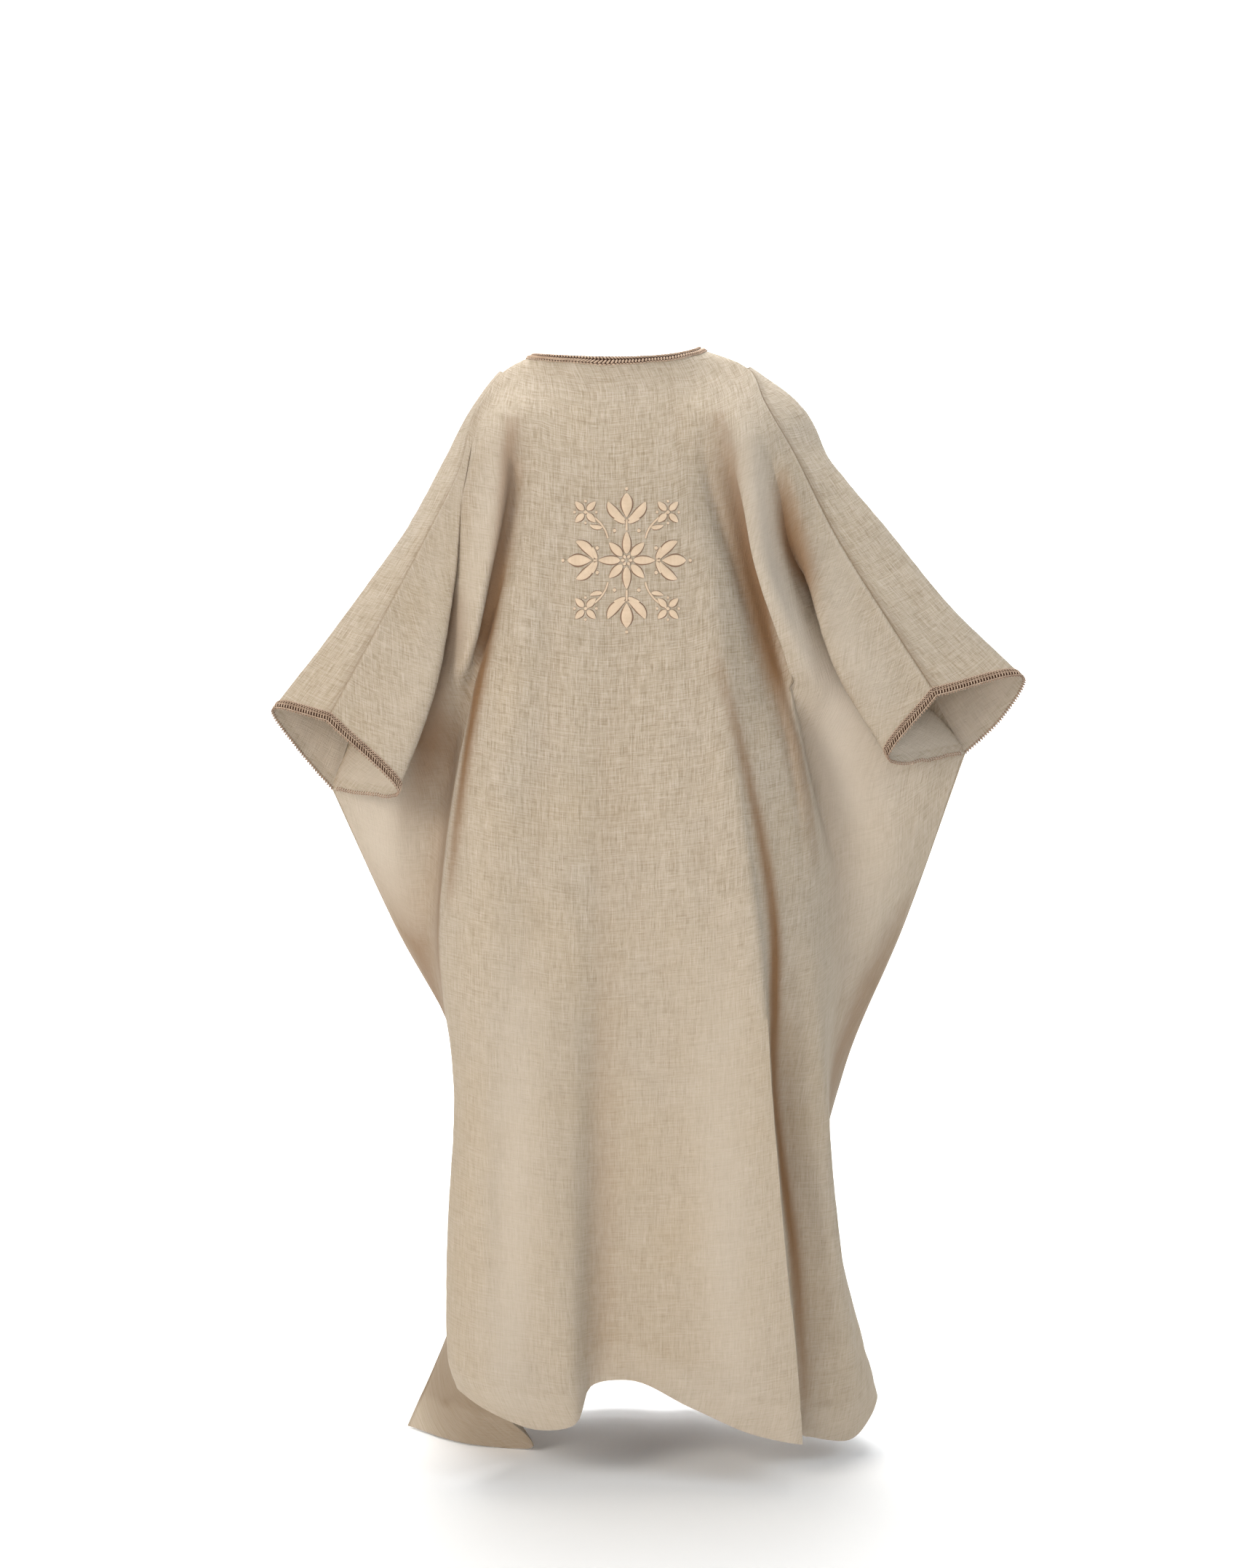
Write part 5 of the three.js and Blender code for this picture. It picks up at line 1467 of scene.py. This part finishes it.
class ABAYA_OT_ornament(bpy.types.Operator):
    """Builds the embroidered floral ornament between the shoulder blades"""
    bl_idname = "abaya.ornament"
    bl_label = "Build ornament"

    def execute(self, context):
        look = context.scene.abaya_ornament
        satin_look = satin_material("satin_stitch", **SATIN)
        strokes = ornament_strokes(look.width / MM, look.height / MM, look.relief / MM)
        quads, flat, base = [], [], 0
        for stroke in strokes:
            rows, cols = stroke.shape[:2]
            quads.append(grid_quads(rows, cols) + base)
            length = np.linalg.norm(np.diff(stroke[:, cols // 2, :2], axis=0), axis=-1).sum()
            places = np.stack([stroke[..., 3] * length, (stroke[..., 4] + 1) / MM], axis=-1)
            flat.append(places.reshape(-1, 2))
            base += rows * cols
        x, z, up = np.concatenate([stroke.reshape(-1, 5) for stroke in strokes])[:, :3].T
        start = int(np.searchsorted(ROWS, ORNAMENT_LEVEL)), column_of("centre")
        point, normal = on_sheet(SHEETS["back"], look.centre[0] / MM + x,
                                 look.centre[1] / MM + z, start)
        points = point + normal * (up[:, None] + STITCH_LIFT)
        piece = new_object("back_ornament", points, np.concatenate(quads), satin_look,
                           np.concatenate(flat))
        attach(piece, "root")
        return {"FINISHED"}


class ABAYA_OT_stage(bpy.types.Operator):
    """Builds the floor, the backdrop, the lights and the camera"""
    bl_idname = "abaya.stage"
    bl_label = "Build stage"

    def execute(self, context):
        look = context.scene.abaya_stage
        paper = plain_material("studio_paper", (0.93, 0.93, 0.93), 0.9)
        turn = np.linspace(0, np.pi / 2, 25)[1:]
        radius, wall, side = SWEEP["radius"], SWEEP["wall"], SWEEP["side"]
        foot = wall - radius
        y = np.concatenate([[SWEEP["start"], 0, foot], foot + radius * np.sin(turn), [wall]])
        z = np.concatenate([[0, 0, 0], radius - radius * np.cos(turn), [SWEEP["top"]]])
        shape = (len(y), 2)
        grid = np.stack([np.broadcast_to((-side, side), shape),
                         np.broadcast_to(y[:, None], shape),
                         np.broadcast_to(z[:, None], shape) + look.floor / MM], axis=-1)
        sweep = new_object("floor_sweep", grid.reshape(-1, 3), grid_quads(len(y), 2), paper,
                           smooth_angle=3.0)
        world = bpy.data.worlds.new("studio_light")
        world.use_nodes = True
        background = world.node_tree.nodes["Background"].inputs
        background[0].default_value = SKY_COLOUR
        background[1].default_value = look.sky
        context.scene.world = world
        for name, power, place, aim, size, tint in LIGHTS:
            self.light(context, name, place, aim, getattr(look, power), size, tint)
        data = bpy.data.cameras.new("camera")
        data.lens, data.sensor_width = CAMERA["lens"], CAMERA["sensor"]
        data.clip_start, data.clip_end = 0.1, 60
        camera = bpy.data.objects.new("camera", data)
        camera.location = CAMERA["place"]
        camera.rotation_euler = (np.pi / 2 - np.arctan2(CAMERA["drop"], CAMERA["run"]), 0, 0)
        context.scene.collection.objects.link(camera)
        context.scene.camera = camera
        context.scene.view_settings.view_transform = "Standard"
        return {"FINISHED"}

    def light(self, context, name, place, aim, power, size, tint):
        """A round soft light at a place, turned so that it looks at its aim."""
        data = bpy.data.lights.new(name, "AREA")
        data.shape, data.size, data.energy, data.color = "DISK", size, power, tint
        lamp = bpy.data.objects.new(name, data)
        lamp.location = place
        way = np.array(place, float) - np.array(aim, float)
        away = float(np.hypot(way[0], way[1]))
        lamp.rotation_euler = (np.arctan2(away, way[2]), 0, np.arctan2(way[0], -way[1]))
        context.scene.collection.objects.link(lamp)


class ABAYA_PT_panel(bpy.types.Panel):
    """Lists the pieces of the abaya"""
    bl_idname = "ABAYA_PT_panel"
    bl_label = "Abaya"
    bl_space_type = "VIEW_3D"
    bl_region_type = "UI"
    bl_category = "Abaya"

    def draw(self, context):
        for operator in OPERATORS:
            self.layout.operator(operator.bl_idname)


SETTINGS = dict(abaya_cloth=ClothSettings, abaya_braid=BraidSettings,
                abaya_ornament=OrnamentSettings, abaya_stage=StageSettings)
OPERATORS = (ABAYA_OT_panels, ABAYA_OT_braids, ABAYA_OT_ornament, ABAYA_OT_stage)
CLASSES = (*SETTINGS.values(), *OPERATORS, ABAYA_PT_panel)


def register():
    """Registers the classes and hangs the settings on the scene."""
    for cls in CLASSES:
        bpy.utils.register_class(cls)
    for name, cls in SETTINGS.items():
        setattr(bpy.types.Scene, name, bpy.props.PointerProperty(type=cls))


def unregister():
    """Takes the settings off the scene and the classes out again."""
    for name in SETTINGS:
        delattr(bpy.types.Scene, name)
    for cls in reversed(CLASSES):
        bpy.utils.unregister_class(cls)


def main():
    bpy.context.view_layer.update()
    register()
    bpy.ops.abaya.stage()
    bpy.ops.abaya.panels()
    bpy.ops.abaya.braids()
    bpy.ops.abaya.ornament()


if __name__ == "__main__":
    main()
